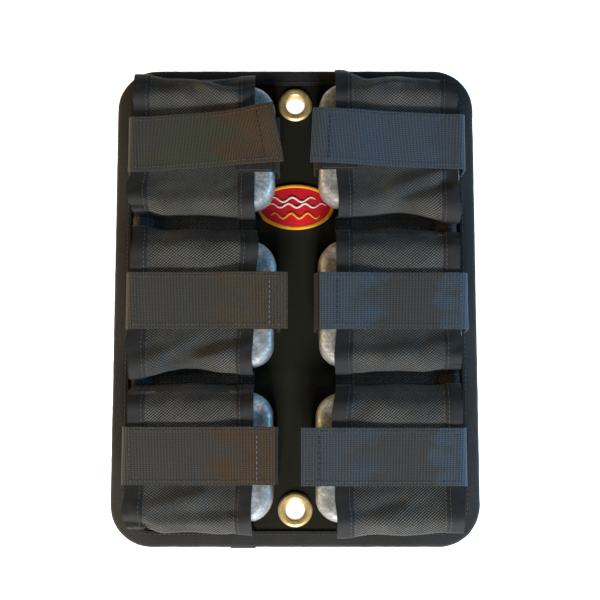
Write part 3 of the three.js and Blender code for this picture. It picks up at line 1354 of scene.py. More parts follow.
@dataclass
class Badge:
    """An embroidered oval patch with a satin-stitched border and plain waves."""

    border: float = 0.0017
    rise: float = 0.0011
    bunches: int = 168
    line: float = 0.00062
    line_points: int = 61

    def build(self, field_thread: Material, border_thread: Material, wave_thread: Material) -> None:
        """Builds the badge.

        Args:
            field_thread: The red ground's material.
            border_thread: The border's material.
            wave_thread: The pale waves' material.
        """
        low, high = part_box("badge")
        middle = (low + high) / 2
        ground = self.oval(middle, high - low, low.z)
        dress(set_down(ground, "badge_ground"), field_thread, "pad", ["badge"])
        rim = self.satin_rim(middle, high - low, low.z)
        dress(set_down(rim, "badge_border", 60), border_thread, "pad")
        top = low.z + self.rise * 0.72
        waves = [
            self.wave(middle + Vector((-0.002, 0.0052, 0)), 0.032, 0.0016, 2.5, top),
            self.wave(middle + Vector((0.001, 0.0010, 0)), 0.040, 0.0014, 3.5, top),
        ]
        dress(set_down(join(waves, "badge_waves"), "badge_waves", 60), wave_thread, "pad")
        swell = self.wave(middle + Vector((0.0, -0.0062, 0)), 0.034, 0.0018, 3.0, top)
        dress(set_down(swell, "badge_swell", 60), border_thread, "pad")

    def oval(self, middle: Vector, size: Vector, low: float) -> Piece:
        """Makes the oval ground.

        Args:
            middle: Its middle.
            size: Its size.
            low: Its lowest height.

        Returns:
            The ground.
        """
        bpy.ops.object.select_all(action="DESELECT")
        bpy.ops.mesh.primitive_circle_add(vertices=72, radius=0.5, fill_type="NGON")
        piece = bpy.context.object
        piece.scale = (size.x - self.border, size.y - self.border, 1)
        piece.location = (middle.x, middle.y, low)
        bpy.ops.object.transform_apply(location=True, rotation=True, scale=True)
        with Editing(piece):
            bpy.ops.mesh.select_all(action="SELECT")
            bpy.ops.mesh.extrude_region_move(TRANSFORM_OT_translate={"value": (0, 0, self.rise * 0.6)})
            bpy.ops.mesh.inset(thickness=0.002)
            bpy.ops.transform.translate(value=(0, 0, self.rise * 0.12))
        return piece

    def satin_rim(self, middle: Vector, size: Vector, low: float) -> Piece:
        """Makes the raised border, with a ridge for every bunch of satin stitches.

        Args:
            middle: Its middle.
            size: Its outer size.
            low: Its lowest height.

        Returns:
            The border.
        """
        bpy.ops.object.select_all(action="DESELECT")
        bpy.ops.mesh.primitive_circle_add(vertices=self.bunches, radius=0.5, fill_type="NOTHING")
        piece = bpy.context.object
        piece.scale = (size.x, size.y, 1)
        piece.location = (middle.x, middle.y, low)
        bpy.ops.object.transform_apply(location=True, rotation=True, scale=True)
        steps = ((0.0, 0.55), (0.25, 0.35), (0.5, 0.1), (0.5, -0.1), (0.25, -0.35), (0.0, -0.55))
        with Editing(piece) as edit:
            bpy.ops.mesh.select_all(action="SELECT")
            wide = Vector((size.x, size.y))
            for inwards, up in steps:
                bpy.ops.mesh.extrude_region_move(TRANSFORM_OT_translate={"value": (0, 0, up * self.rise)})
                shrink = [1 - 2 * inwards * self.border / side for side in wide]
                bpy.ops.transform.resize(value=(*shrink, 1), center_override=(middle.x, middle.y, low))
                wide -= Vector((2, 2)) * inwards * self.border
            bpy.ops.mesh.select_all(action="SELECT")
            bpy.ops.mesh.normals_make_consistent(inside=False)
            edit.pick("VERT", lambda vert: vert.index % self.bunches % 2 == 0 and vert.co.z > low + 0.0005)
            bpy.ops.transform.translate(value=(0, 0, 0.00018))
        apply_modifier(piece, "SOLIDIFY", thickness=0.0002, offset=-1.0)
        return piece

    def wave(self, middle: Vector, length: float, swing: float, turns: float, height: float) -> Piece:
        """Makes one wavy line of satin stitches.

        Args:
            middle: The line's middle.
            length: Its length.
            swing: How far it swings to each side.
            turns: How many waves it has.
            height: Its height.

        Returns:
            The line.
        """
        curve = bpy.data.curves.new("wave", "CURVE")
        curve.dimensions = "3D"
        curve.bevel_depth = self.line
        curve.bevel_resolution = 3
        curve.use_fill_caps = True
        spline = curve.splines.new("POLY")
        last = self.line_points - 1
        spline.points.add(last)
        for i, point in enumerate(spline.points):
            share = i / last
            x = (share - 0.5) * length
            y = swing * math.sin(share * turns * math.tau)
            point.co = (middle.x + x, middle.y + y, height, 1)
            point.radius = 0.35 + 0.95 * math.sin(math.pi * share) ** 0.6
        piece = bpy.data.objects.new("wave", curve)
        bpy.context.collection.objects.link(piece)
        hold(piece)
        bpy.ops.object.convert(target="MESH")
        return bpy.context.object


# ---------------------------------------------------------------------------
# Pockets
# ---------------------------------------------------------------------------


@dataclass(frozen=True)
class Hang:
    """How far a sleeve bulges past a block's middle, at the sleeve's inner edge, middle and outer edge."""

    inner: float
    middle: float
    outer: float


@dataclass(frozen=True)
class Pull:
    """A tug on cloth: the place that is moved, how far, and how far round it the cloth follows."""

    place: Place
    move: Place
    reach: float

    def apply(self, piece: Piece) -> None:
        """Tugs a piece's nearest vertex, and what lies round it.

        Args:
            piece: The cloth.
        """
        with Editing(piece) as edit:
            target = Vector(self.place)
            nearest = min(edit.mesh().verts, key=lambda vert: (vert.co - target).length_squared).index
            edit.pick("VERT", lambda vert: vert.index == nearest)
            bpy.ops.transform.translate(
                value=self.move,
                use_proportional_edit=True,
                proportional_size=self.reach,
                proportional_edit_falloff="SMOOTH",
            )


@dataclass
class Pocket:
    """One pocket: where its block and strap lie, and how its sleeve hangs."""

    name: str
    side: Side
    row: int
    dye: DyeAndPaintedLight
    below: Hang
    above: Hang = Hang(0.0490, 0.0490, 0.0490)
    block_turn: float = 0.0
    light_thread: bool = False
    tugs: Sequence[Pull] = ()

    @property
    def middle(self) -> float:
        """The pocket's middle on Y."""
        return self.row * ROW_SPACING

    @property
    def strap_box(self) -> tuple[Vector, Vector]:
        """The box of the strap's part under and beside the block."""
        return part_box("strap_base_" + self.name)

    @property
    def strap_middle(self) -> float:
        """The strap's middle line on Y."""
        low, high = self.strap_box
        return (low.y + high.y) / 2

    @property
    def fold_out(self) -> float:
        """How far out the webbing's middle layer passes the block's outer end."""
        low, high = self.strap_box
        return max(abs(low.x), abs(high.x)) - WEBBING / 2

    @property
    def fold_in(self) -> float:
        """How far out the webbing's middle layer passes the block's inner end."""
        low, high = self.strap_box
        return min(abs(low.x), abs(high.x)) + WEBBING / 2

    @property
    def flap_end(self) -> float:
        """How far out the flap's free end is."""
        low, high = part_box("strap_flap_" + self.name)
        return min(abs(low.x), abs(high.x)) + 0.0003

    @property
    def lean(self) -> float:
        """The flap's slope up the pad, from its fold to its free end."""
        low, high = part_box("strap_flap_" + self.name)
        return (high.y - low.y - WEBBING_WIDTH) / (high.x - low.x)


@dataclass
class LeadBlock:
    """A cast block with drafted sides and rounded edges, modelled once and copied to each pocket."""

    corner: float = 0.017
    draft: float = 0.97
    voxel: float = 0.0014
    slack: float = 0.0010

    def prototype(self, size: Vector) -> Piece:
        """Models one block, standing on the origin.

        Args:
            size: The block's size.

        Returns:
            The block.
        """
        bpy.ops.object.select_all(action="DESELECT")
        bpy.ops.mesh.primitive_cube_add(size=1, location=(0, 0, 0.5))
        piece = bpy.context.object
        piece.scale = size
        piece.location.z = size.z / 2
        bpy.ops.object.transform_apply(location=True, rotation=True, scale=True)
        with Editing(piece) as edit:
            edit.pick("FACE", lambda face: face.normal.z > 0.9)
            bpy.ops.transform.resize(value=(self.draft, self.draft, 1), center_override=(0, 0, size.z))
            edit.pick("EDGE", lambda edge: abs(edge.verts[0].co.z - edge.verts[1].co.z) > size.z / 2)
            bpy.ops.mesh.bevel(offset=self.corner, segments=12, affect="EDGES")
            edit.pick("EDGE", lambda edge: all(v.co.z > size.z - 1e-4 for v in edge.verts))
            bpy.ops.mesh.bevel(offset=0.0042, segments=6, affect="EDGES")
            edit.pick("EDGE", lambda edge: all(v.co.z < 1e-4 for v in edge.verts))
            bpy.ops.mesh.bevel(offset=0.0022, segments=4, affect="EDGES")
        apply_modifier(piece, "REMESH", mode="VOXEL", voxel_size=self.voxel)
        apply_modifier(piece, "SMOOTH", factor=0.5, iterations=3)
        return piece

    def build(self, pockets: Sequence[Pocket], lead: Material) -> None:
        """Copies the block into every pocket and gives each its own dents.

        Args:
            pockets: The pockets.
            lead: The lead's material.
        """
        low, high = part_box("lead_weight_bottom_left")
        block = self.prototype(high - low - Vector((self.slack, self.slack, 0)))
        for pocket in pockets:
            low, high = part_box("lead_weight_" + pocket.name)
            copy = copy_piece(block)
            copy.rotation_euler.z = math.radians(pocket.block_turn)
            copy.location = ((low.x + high.x) / 2, (low.y + high.y) / 2, low.z)
            hold(copy)
            bpy.ops.object.transform_apply(location=True, rotation=True, scale=True)
            roughen(copy, clouds("casting_dents", 0.016, 3), 0.0011)
            roughen(copy, clouds("casting_grain", 0.0035, 2), 0.0005)
            piece = set_down(copy, "block_" + pocket.name, 80)
            body = "weight_" + pocket.name
            dress(piece, lead, body, ["lead_weight_" + pocket.name])
        bpy.data.objects.remove(block)


@dataclass
class PocketStrap:
    """A pocket's webbing, which runs under the block, folds over its outer end and closes onto a tab."""

    pocket: Pocket
    width: float = WEBBING_WIDTH
    thickness: float = WEBBING
    tape: float = 0.0008
    tape_inset: float = 0.002
    tape_gap: float = 0.00005
    fold: float = 0.0052
    under: float = 0.060
    shoulder: float = 0.058
    over_tab: float = 0.040
    dip: float = 0.0021
    by_fold: float = 0.002
    tab_start: float = 0.057
    tab_reach: float = 0.029
    hook_from: float = 0.104
    hook_to: float = 0.026
    slope: float = 0.001
    bend_depths: tuple[float, float] = (0.0022, 0.0002)
    edge_seam: float = 0.0022
    end_seam: float = 0.012

    def build(
        self,
        webbing: Material,
        tab_webbing: Material,
        tapes: Sequence[Material],
        threads: Sequence[Material],
    ) -> None:
        """Builds the strap, its tab and their tapes and stitches.

        Args:
            webbing: The strap's material.
            tab_webbing: The tab's material.
            tapes: The hook tape's material and the loop tape's.
            threads: The material of the stitches along the strap and of those across its end.
        """
        name = self.pocket.name
        flap = self.flap_strip()
        seams = [Stitching("flap_stitches_" + name), Stitching("end_stitches_" + name, 0.0034, 0.00034)]
        self.sew_flap(flap, *seams)
        self.thicken(flap.piece, self.thickness)
        piece = set_down(flap.piece, "strap_" + name, 50)
        hinge = self.hinge("flap_fold_" + name)
        self.bend(piece, "flap_" + name, hinge)
        dress(piece, webbing, "", ["strap_flap_" + name, "strap_base_" + name])
        for seam, thread in zip(seams, threads):
            seam.finish(thread, "webbing", "flap_" + name)

        tab = self.tab_strip()
        self.thicken(tab.piece, self.thickness)
        piece = set_down(tab.piece, "tab_" + name, 50)
        self.bend(piece, "tab_" + name, self.hinge("tab_fold_" + name))
        dress(piece, tab_webbing, "", ["strap_tab_" + name])

        for tape, material, kind, body in (
            (self.hook_strip(), tapes[0], "hook", "flap_"),
            (self.loop_strip(), tapes[1], "loop", "tab_"),
        ):
            self.thicken(tape.piece, self.tape)
            piece = set_down(tape.piece, f"{kind}_{name}", 50)
            dress(piece, material, body + name, [f"{kind}_tape_{name}"])

    def hinge(self, joint: str) -> Vector:
        """Gives a joint's place."""
        found = next(j for j in frame["joints"] if j["name"] == joint)
        return Vector(found["pos_m"])

    def bend(self, piece: Piece, body: str, hinge: Vector) -> None:
        """Bakes a strip's place into its mesh; the strip does not bend between the pad and the body it turns
        with.

        Args:
            piece: The strip.
            body: The turning body; not used.
            hinge: The hinge's place; not used.
        """
        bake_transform(piece)

    def thicken(self, piece: Piece, thickness: float) -> None:
        """Gives a folded strip its thickness."""
        apply_modifier(piece, "SOLIDIFY", thickness=thickness, offset=0.0)

    def side_bends(self, bends: Sequence[tuple[float, float, float]]) -> list[Bend]:
        """Puts distances from the pad's middle line on this pocket's side."""
        return [Bend(self.pocket.side.value * out, height, radius) for out, height, radius in bends]

    @property
    def floor(self) -> float:
        """The height of the webbing's middle layer under the block."""
        return self.pocket.strap_box[0].z + self.thickness / 2

    @property
    def flap_height(self) -> float:
        """The height of the flap's middle layer over the tab."""
        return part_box("strap_flap_" + self.pocket.name)[1].z - self.thickness / 2

    @property
    def tab_height(self) -> float:
        """The height of the tab's middle layer."""
        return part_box("strap_tab_" + self.pocket.name)[1].z - self.thickness / 2

    def flap_strip(self) -> Strip:
        """Folds the strap from under the block, over its outer end and along its top.

        Returns:
            The strip.
        """
        far, high = self.pocket.fold_out, self.flap_height
        end = self.pocket.flap_end
        droop = 0.0004 if end > self.pocket.fold_in else 0.0016
        bends = [
            (self.under, self.floor, 0),
            (far, self.floor, self.fold),
            (far, high - 0.0023, 0.0042),
            (self.shoulder, high - self.dip, 0.03),
            (self.over_tab, high, 0.03),
            (self.pocket.fold_in + 0.004, high, 0.02),
            (end, high - droop, 0),
        ]
        strip = Strip("strap", self.width, self.side_bends(bends))
        if self.pocket.lean > self.slope:
            first = strip.row_at(self.to_flap() + self.by_fold)
            strip.lean(first, 8, -self.pocket.side.value * math.atan(self.pocket.lean))
        strip.set_across(self.pocket.strap_middle)
        for tug in self.pocket.tugs:
            tug.apply(strip.piece)
        return strip

    def to_flap(self) -> float:
        """Gives how much webbing lies before the flap: under the block and up its outer end."""
        return self.pocket.fold_out - self.under + self.flap_height - self.floor

    def tab_strip(self) -> Strip:
        """Folds the tab from under the block, up its inner end and a little way over its top.

        Returns:
            The strip.
        """
        near = self.pocket.fold_in
        bends = [
            (self.tab_start, self.floor, 0),
            (near, self.floor, self.fold),
            (near, self.tab_height, 0.0035),
            (near + self.tab_reach, self.tab_height, 0),
        ]
        strip = Strip("tab", self.width, self.side_bends(bends))
        strip.set_across(self.pocket.strap_middle)
        return strip

    def hook_strip(self) -> Strip:
        """Lays the hook tape under the flap.

        Returns:
            The strip.
        """
        drop = self.thickness / 2 + self.tape / 2 + self.tape_gap
        high = self.flap_height - drop
        bends = [
            (self.hook_from, high - 0.0022, 0),
            (self.shoulder, high - self.dip, 0.03),
            (self.over_tab, high, 0.03),
            (self.hook_to, high, 0),
        ]
        strip = Strip("hook", self.width - self.tape_inset, self.side_bends(bends), 0.002, 10)
        if self.pocket.lean > self.slope:
            strip.lean(0, 1, -self.pocket.side.value * math.atan(self.pocket.lean))
        rise = self.pocket.lean * (self.pocket.fold_out - self.hook_from)
        strip.set_across(self.pocket.strap_middle + rise)
        return strip

    def loop_strip(self) -> Strip:
        """Lays the loop tape on the tab.

        Returns:
            The strip.
        """
        height = self.tab_height + self.thickness / 2 + self.tape / 2 + self.tape_gap
        near = self.pocket.fold_in
        bends = [(near + 0.005, height, 0), (near + 0.016, height, 0.01), (near + 0.028, height, 0)]
        strip = Strip("loop", self.width - self.tape_inset, self.side_bends(bends), 0.002, 10)
        strip.set_across(self.pocket.strap_middle)
        return strip

    def sew_flap(self, strip: Strip, along: Stitching, across: Stitching) -> None:
        """Finds the flap's rows of stitches: one along each edge, one near its fold and one near its end.

        Args:
            strip: The strap's strip.
            along: Takes the rows along its edges and near its fold.
            across: Takes the row near its end.
        """
        lift = -self.pocket.side.value * (self.thickness / 2 + 0.00014)
        edge = self.width / 2 - self.edge_seam
        begin = self.to_flap() - self.by_fold
        for side in (-edge, edge):
            along.sew(strip.stitch_line(Direction.ALONG, side, begin, -0.002, lift))
        along.sew(strip.stitch_line(Direction.ACROSS, begin + 0.001, -edge, edge, lift))
        across.sew(strip.stitch_line(Direction.ACROSS, strip.length - self.end_seam, -edge, edge, lift))


@dataclass(frozen=True)
class Crease:
    """A fold pressed into a sleeve between two places: a ridge, or a groove if it goes down."""

    start: tuple[float, float]
    end: tuple[float, float]
    rise: float
    reach: float
    line: float = 0.0013
    lowest: float = 0.021

    def press(self, piece: Piece) -> None:
        """Presses the fold into a sleeve.

        Args:
            piece: The sleeve.
        """
        start, end = Vector(self.start), Vector(self.end)
        run = end - start

        def on_crease(vert: bmesh.types.BMVert) -> bool:
            """Says whether a vertex lies on the fold's line, high on the sleeve.

            Args:
                vert: The vertex.

            Returns:
                Whether it does.
            """
            flat = vert.co.xy - start
            share = max(0.0, min(1.0, flat.dot(run) / run.length_squared))
            return vert.co.z > self.lowest and (flat - run * share).length < self.line

        with Editing(piece) as edit:
            if edit.pick("VERT", on_crease):
                bpy.ops.transform.translate(
                    value=(0, 0, self.rise),
                    use_proportional_edit=True,
                    proportional_size=self.reach,
                    proportional_edit_falloff="SMOOTH",
                )


@dataclass
class SleeveStrip:
    """One long cloth strip, sewn down between its three pockets and humped over each block."""

    side: Side
    pockets: Sequence[Pocket]
    creases: Sequence[Crease]
    tugs: Sequence[Pull]
    hem: float = 0.0112
    thickness: float = 0.0009
    hem_rise: float = 0.0005
    inner: float = 0.031
    outer: float = 0.107
    bulge: float = 0.0490
    bulge_height: float = 0.0242
    foot: float = 0.0462
    upper_foot: float = 0.0490
    top: float = 0.0310
    press_half: float = 0.0203
    tug_reach: float = 0.024
    wrinkle_turn: float = 32.0
    wrinkle_stretch: float = 3.4
    block_half: float = 0.0445
    over_block: float = 0.0007
    strap_half: float = 0.0198
    under_strap: float = 0.0003
    hem_edge: float = 0.0004
    seam_sink: float = 0.0003
    seam_gap: float = 0.0030
    sewn_below: float = 0.0068

    def build(self, nylon: Material, thread: Material) -> None:
        """Builds the strip, its hems and its seams.

        Args:
            nylon: The cloth's material.
            thread: The stitches' material.
        """
        name = self.side.name.lower()
        low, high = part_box("sleeve_strip_" + name)
        strip = Strip("sleeve", high.x - low.x, self.bends(), 0.002, 56)
        strip.turn_up_pad((low.x + high.x) / 2)
        for tug in [*self.hanging(), *self.tugs]:
            tug.apply(strip.piece)
        for crease in self.creases:
            crease.press(strip.piece)
        self.loosen(strip.piece)
        self.rest(strip.piece)
        self.thicken_hems(strip)
        seam = Stitching("sleeve_stitches_" + name)
        self.sew(strip, seam)
        apply_modifier(strip.piece, "SOLIDIFY", thickness=self.thickness, offset=0.0)
        piece = set_down(strip.piece, "sleeve_" + name, 60)
        dress(piece, nylon, "pad", ["sleeve_strip_" + name])
        stitches = seam.finish(thread, "sleeve_cloth", "pad")

    def bends(self) -> list[Bend]:
        """Lists the strip's bends from the pad's bottom edge to its top edge.

        Returns:
            The bends.
        """
        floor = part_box("front_cloth")[1].z + 0.0006
        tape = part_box("edge_binding")[1].z + 0.0006
        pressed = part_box("lead_weight_bottom_left")[1].z + 0.0008
        ordered = sorted(self.pockets, key=lambda pocket: pocket.row)
        found = [Bend(ordered[0].middle - self.foot - 0.0012, floor + 0.0012)]
        for pocket in ordered:
            middle = pocket.middle
            low = pocket.strap_middle - self.press_half
            high = pocket.strap_middle + self.press_half + pocket.lean * 0.086
            last = tape if pocket is ordered[-1] else floor
            found += [
                Bend(middle - self.foot, floor, 0.0012),
                Bend(middle - self.foot - 0.0006, 0.0120, 0.005),
                Bend(middle - self.bulge, self.bulge_height, 0.005),
                Bend(middle - 0.0415, self.top + 0.0014, 0.008),
                Bend(low - 0.0060, pressed + 0.0014, 0.010),
                Bend(low, pressed, 0.003),
                Bend(high, pressed, 0.003),
                Bend(high + 0.0030, pressed + 0.0016, 0.005),
                Bend(middle + 0.0355, self.top + 0.0012, 0.012),
                Bend(middle + 0.0466, self.bulge_height, 0.008),
                Bend(middle + self.bulge, 0.0130, 0.006),
                Bend(middle + self.upper_foot, last, 0.0012),
            ]
        found.append(Bend(ordered[-1].middle + self.upper_foot + 0.0012, tape + 0.0010))
        return found

    def hanging(self) -> list[Pull]:
        """Lists the tugs that make each pocket's bulges hang unevenly.

        Returns:
            The tugs.
        """
        found = []
        for pocket in self.pockets:
            middle = pocket.middle
            edges = [(-1, pocket.below, self.bulge_height)]
            if pocket.row == max(p.row for p in self.pockets):
                edges.append((1, pocket.above, 0.016))
            for way, hang, height in edges:
                for out, reach in (
                    (self.inner, hang.inner),
                    ((self.inner + self.outer) / 2, hang.middle),
                    (self.outer, hang.outer),
                ):
                    place = (self.side.value * out, middle + way * self.bulge, height)
                    found.append(Pull(place, (0, way * (reach - self.bulge), 0), self.tug_reach))
        return found

    def loosen(self, piece: Piece) -> None:
        """Gives the cloth its slack, less where a strap presses it or a seam holds it.

        Args:
            piece: The sleeve.
        """
        loose = piece.vertex_groups.new(name="loose")
        for vert in piece.data.vertices:
            free = max(0.0, min(1.0, (vert.co.z - 0.0286) / 0.0016))
            wall = 1.0 if 0.0100 < vert.co.z < 0.0265 else 0.0
            loose.add([vert.index], max(free, wall * 0.6, 0.08), "REPLACE")
        roughen(piece, clouds("sleeve_slack", 0.022, 1), 0.0016, "loose")
        grain = bpy.data.objects.new("wrinkle_grain", None)
        bpy.context.collection.objects.link(grain)
        grain.rotation_euler.z = math.radians(self.wrinkle_turn)
        grain.scale = (self.wrinkle_stretch, 1.0, 1.0)
        bpy.context.view_layer.update()
        apply_modifier(
            piece,
            "DISPLACE",
            texture=clouds("sleeve_wrinkles", 0.010, 1),
            strength=0.0022,
            mid_level=0.5,
            texture_coords="OBJECT",
            texture_coords_object=grain,
            vertex_group="loose",
        )
        bpy.data.objects.remove(grain)
        piece.vertex_groups.clear()

    def rest(self, piece: Piece) -> None:
        """Keeps the cloth on top of its blocks and under its straps.

        Args:
            piece: The sleeve.
        """
        for pocket in self.pockets:
            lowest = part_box("lead_weight_" + pocket.name)[1].z + self.over_block
            middle, fold, lean = pocket.strap_middle, pocket.fold_out, pocket.lean
            for vert in piece.data.vertices:
                if abs(vert.co.y - pocket.middle) > self.block_half:
                    continue
                vert.co.z = max(vert.co.z, lowest)
                if abs(vert.co.y - middle - lean * (fold - abs(vert.co.x))) < self.strap_half:
                    vert.co.z = min(vert.co.z, lowest + self.under_strap)

    def thicken_hems(self, strip: Strip) -> None:
        """Lifts both folded hems and sinks the cloth along their stitches.

        Args:
            strip: The sleeve's strip.
        """
        stride = strip.rows + 1
        gap = strip.width / strip.columns
        inside = self.hem - self.hem_edge
        with Editing(strip.piece) as edit:
            edit.pick("VERT", lambda vert: self.from_edge(strip, vert.index // stride * gap) < inside)
            bpy.ops.transform.shrink_fatten(value=self.hem_rise)
            for line in self.seam_columns(strip):
                edit.pick("VERT", lambda vert, line=line: vert.index // stride == line)
                bpy.ops.transform.shrink_fatten(value=-self.seam_sink)

    def from_edge(self, strip: Strip, across: float) -> float:
        """Gives a place's distance from the strip's nearer edge."""
        return min(across, strip.width - across)

    def seam_columns(self, strip: Strip) -> list[int]:
        """Gives the columns of vertices that the hems' stitches follow."""
        first = [round(at / strip.width * strip.columns) for at in (self.hem - self.seam_gap, self.hem)]
        return first + [strip.columns - column for column in first]

    def sew(self, strip: Strip, seam: Stitching) -> None:
        """Finds the strip's rows of stitches.

        Args:
            strip: The sleeve's strip.
            seam: The stitches to add them to.
        """
        lift = self.thickness / 2 + 0.00012
        for column in self.seam_columns(strip):
            at = (column / strip.columns - 0.5) * strip.width
            seam.sew(strip.stitch_line(Direction.ALONG, at, 0.001, -0.001, lift))
        edge = strip.width / 2 - 0.001
        flat = [i for i in range(2, strip.rows - 1) if strip.route[i].y < self.sewn_below]
        for row in flat[1::2]:
            seam.sew(strip.stitch_line(Direction.ACROSS, row * strip.step, -edge, edge, lift))


# ---------------------------------------------------------------------------
# The studio
# ---------------------------------------------------------------------------


@dataclass
class Studio:
    """A pale floor, soft lights and the camera."""

    distance: float = 0.900
    tilt: float = 8.0
    lens: float = 78.34
    aim: tuple[float, float] = (0.00324, 0.0029)
    sensor: float = 36.0
    room_light: float = 0.08
    floor_size: float = 4.0
    floor_drop: float = 0.0002

    def build(self) -> None:
        """Sets up the floor, the lights and the camera."""
        self.floor()
        self.world()
        self.light("front_box", (0.0, -1.25, 0.62), (0, 0, 0), 0.4, 40.0, (1.0, 1.0, 0.98))
        self.light("warm_side", (-0.95, 0.0, 0.26), (0, 0, 0.02), 0.45, 14.0, (1.0, 0.70, 0.34))
        self.light("cool_side", (0.95, 0.0, 0.26), (0, 0, 0.02), 0.45, 17.0, (0.32, 0.66, 1.0))
        self.camera()
        bpy.context.scene.view_settings.view_transform = "Standard"

    def floor(self) -> None:
        """Lays the pale floor."""
        bpy.ops.object.select_all(action="DESELECT")
        bpy.ops.mesh.primitive_plane_add(size=self.floor_size, location=(0, 0, -self.floor_drop))
        plane = bpy.context.object
        plane.name = "studio_floor"
        mix = Recipe("studio_paper", (0.9, 0.9, 0.9), 0.9)
        mix.shader.inputs["Emission Color"].default_value = (1, 1, 1, 1)
        mix.shader.inputs["Emission Strength"].default_value = 1.0
        plane.data.materials.append(mix.material)

    def world(self) -> None:
        """Fills the room with soft light."""
        world = bpy.data.worlds.new("studio_room")
        world.use_nodes = True
        background = world.node_tree.nodes["Background"]
        background.inputs["Color"].default_value = (1, 1, 1, 1)
        background.inputs["Strength"].default_value = self.room_light
        bpy.context.scene.world = world

    def light(self, name: str, place: Place, target: Place, size: float, power: float, color: Color) -> None:
        """Hangs a soft light.

        Args:
            name: The light's name.
            place: Where it hangs.
            target: What it points at.
            size: Its width.
            power: Its power in watts.
            color: Its colour.
        """
        data = bpy.data.lights.new(name, "AREA")
        data.size = size
        data.energy = power
        data.color = color
        lamp = bpy.data.objects.new(name, data)
        lamp.location = place
        lamp.rotation_euler = (Vector(target) - Vector(place)).to_track_quat("-Z", "Y").to_euler()
        bpy.context.collection.objects.link(lamp)

    def camera(self) -> None:
        """Hangs the camera over the pad, a little below its middle."""
        data = bpy.data.cameras.new("studio_camera")
        data.lens = self.lens
        data.sensor_width = self.sensor
        data.clip_start = 0.01
        tilt = math.radians(self.tilt)
        camera = bpy.data.objects.new("studio_camera", data)
        back = Vector((0, -math.sin(tilt), math.cos(tilt)))
        up = Vector((0, math.cos(tilt), math.sin(tilt)))
        camera.location = back * self.distance + Vector((self.aim[0], 0, 0)) + up * self.aim[1]
        camera.rotation_euler = (tilt, 0, 0)
        bpy.context.collection.objects.link(camera)
        bpy.context.scene.camera = camera


# ---------------------------------------------------------------------------
# The whole pad
# ---------------------------------------------------------------------------


@dataclass
class WeightPad:
    """The whole pad: its panel, its sleeves, and the block and strap of each pocket."""

    pockets: Sequence[Pocket]

    def build(self) -> None:
        """Builds every sub-assembly and gives each its finishes."""
        black = PlainCloth("panel_cloth", (0.0110, 0.0110, 0.0072), gloss=0.05).material()
        back = PlainCloth("back_cloth", (0.012, 0.012, 0.012), 0.0011, 0.0002).material()
        tape = PlainCloth("edge_tape", (0.0165, 0.0160, 0.0155), 0.0008, 0.0002, 0.5, 0.08, 0.15).material()
        low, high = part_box("sleeve_strip_left")
        nylon = DiagonalNylon(high.x - low.x, 0.0112).material()
        brass = WornBrass().material()
        thread = Thread("grey_thread", (0.055, 0.055, 0.055)).material()
        dark_thread = Thread("dark_thread", (0.006, 0.006, 0.007)).material()
        light_thread = Thread("light_thread", (0.120, 0.120, 0.125)).material()
        # The tabs are darker partly as painted shade under the flap ends.
        tab_webbing = RibbedWebbing("tabs", DyeAndPaintedLight(TAB, TAB, TAB)).material()
        hook = Pile("hook_bristles", (0.010, 0.010, 0.010), 0.0013).material()
        loop = Pile("loop_fluff", (0.014, 0.014, 0.014), 0.0009).material()
        lead = CastLead().material()
        Panel().build(black, back, tape, thread)
        for place in ("top", "bottom"):
            Grommet(place).build(brass)
        Badge().build(
            Thread("red_thread", (0.70, 0.010, 0.022), 0.0007, 60).material(),
            Thread("gold_thread", (0.85, 0.36, 0.02), 0.0007, 10).material(),
            Thread("pale_thread", (0.80, 0.66, 0.60), 0.0007, 80).material(),
        )
        LeadBlock().build(self.pockets, lead)
        for side in Side:
            own = [pocket for pocket in self.pockets if pocket.side is side]
            SleeveStrip(side, own, CREASES[side], TUGS[side]).build(nylon, thread)
        for pocket in self.pockets:
            webbing = RibbedWebbing(pocket.name, pocket.dye).material()
            end_thread = light_thread if pocket.light_thread else dark_thread
            PocketStrap(pocket).build(webbing, tab_webbing, (hook, loop), (thread, end_thread))
        self.dress_board()

    def dress_board(self) -> None:
        """Gives the board inside the pad its finish."""
        board = frame["nodes"]["stiffener_board"]
        board.data.materials.clear()
        board.data.materials.append(MouldedBoard().material())


# The tabs' colour: darker partly as painted shade, for the shadow that each flap's end casts on its tab.
TAB = (0.014, 0.012, 0.009)
# Strap colours: the blues and slates of the right straps and the browns and tans of the left ones are partly
# dye, partly a painted tint of the cool lamp on the right and the warm lamp on the left.
GREY = (0.028, 0.0275, 0.0255)
OLIVE = (0.029, 0.0305, 0.0205)
BROWN = (0.038, 0.0245, 0.0145)
TAN = (0.037, 0.028, 0.0185)
BLUE = (0.029, 0.039, 0.051)
SLATE = (0.028, 0.034, 0.041)

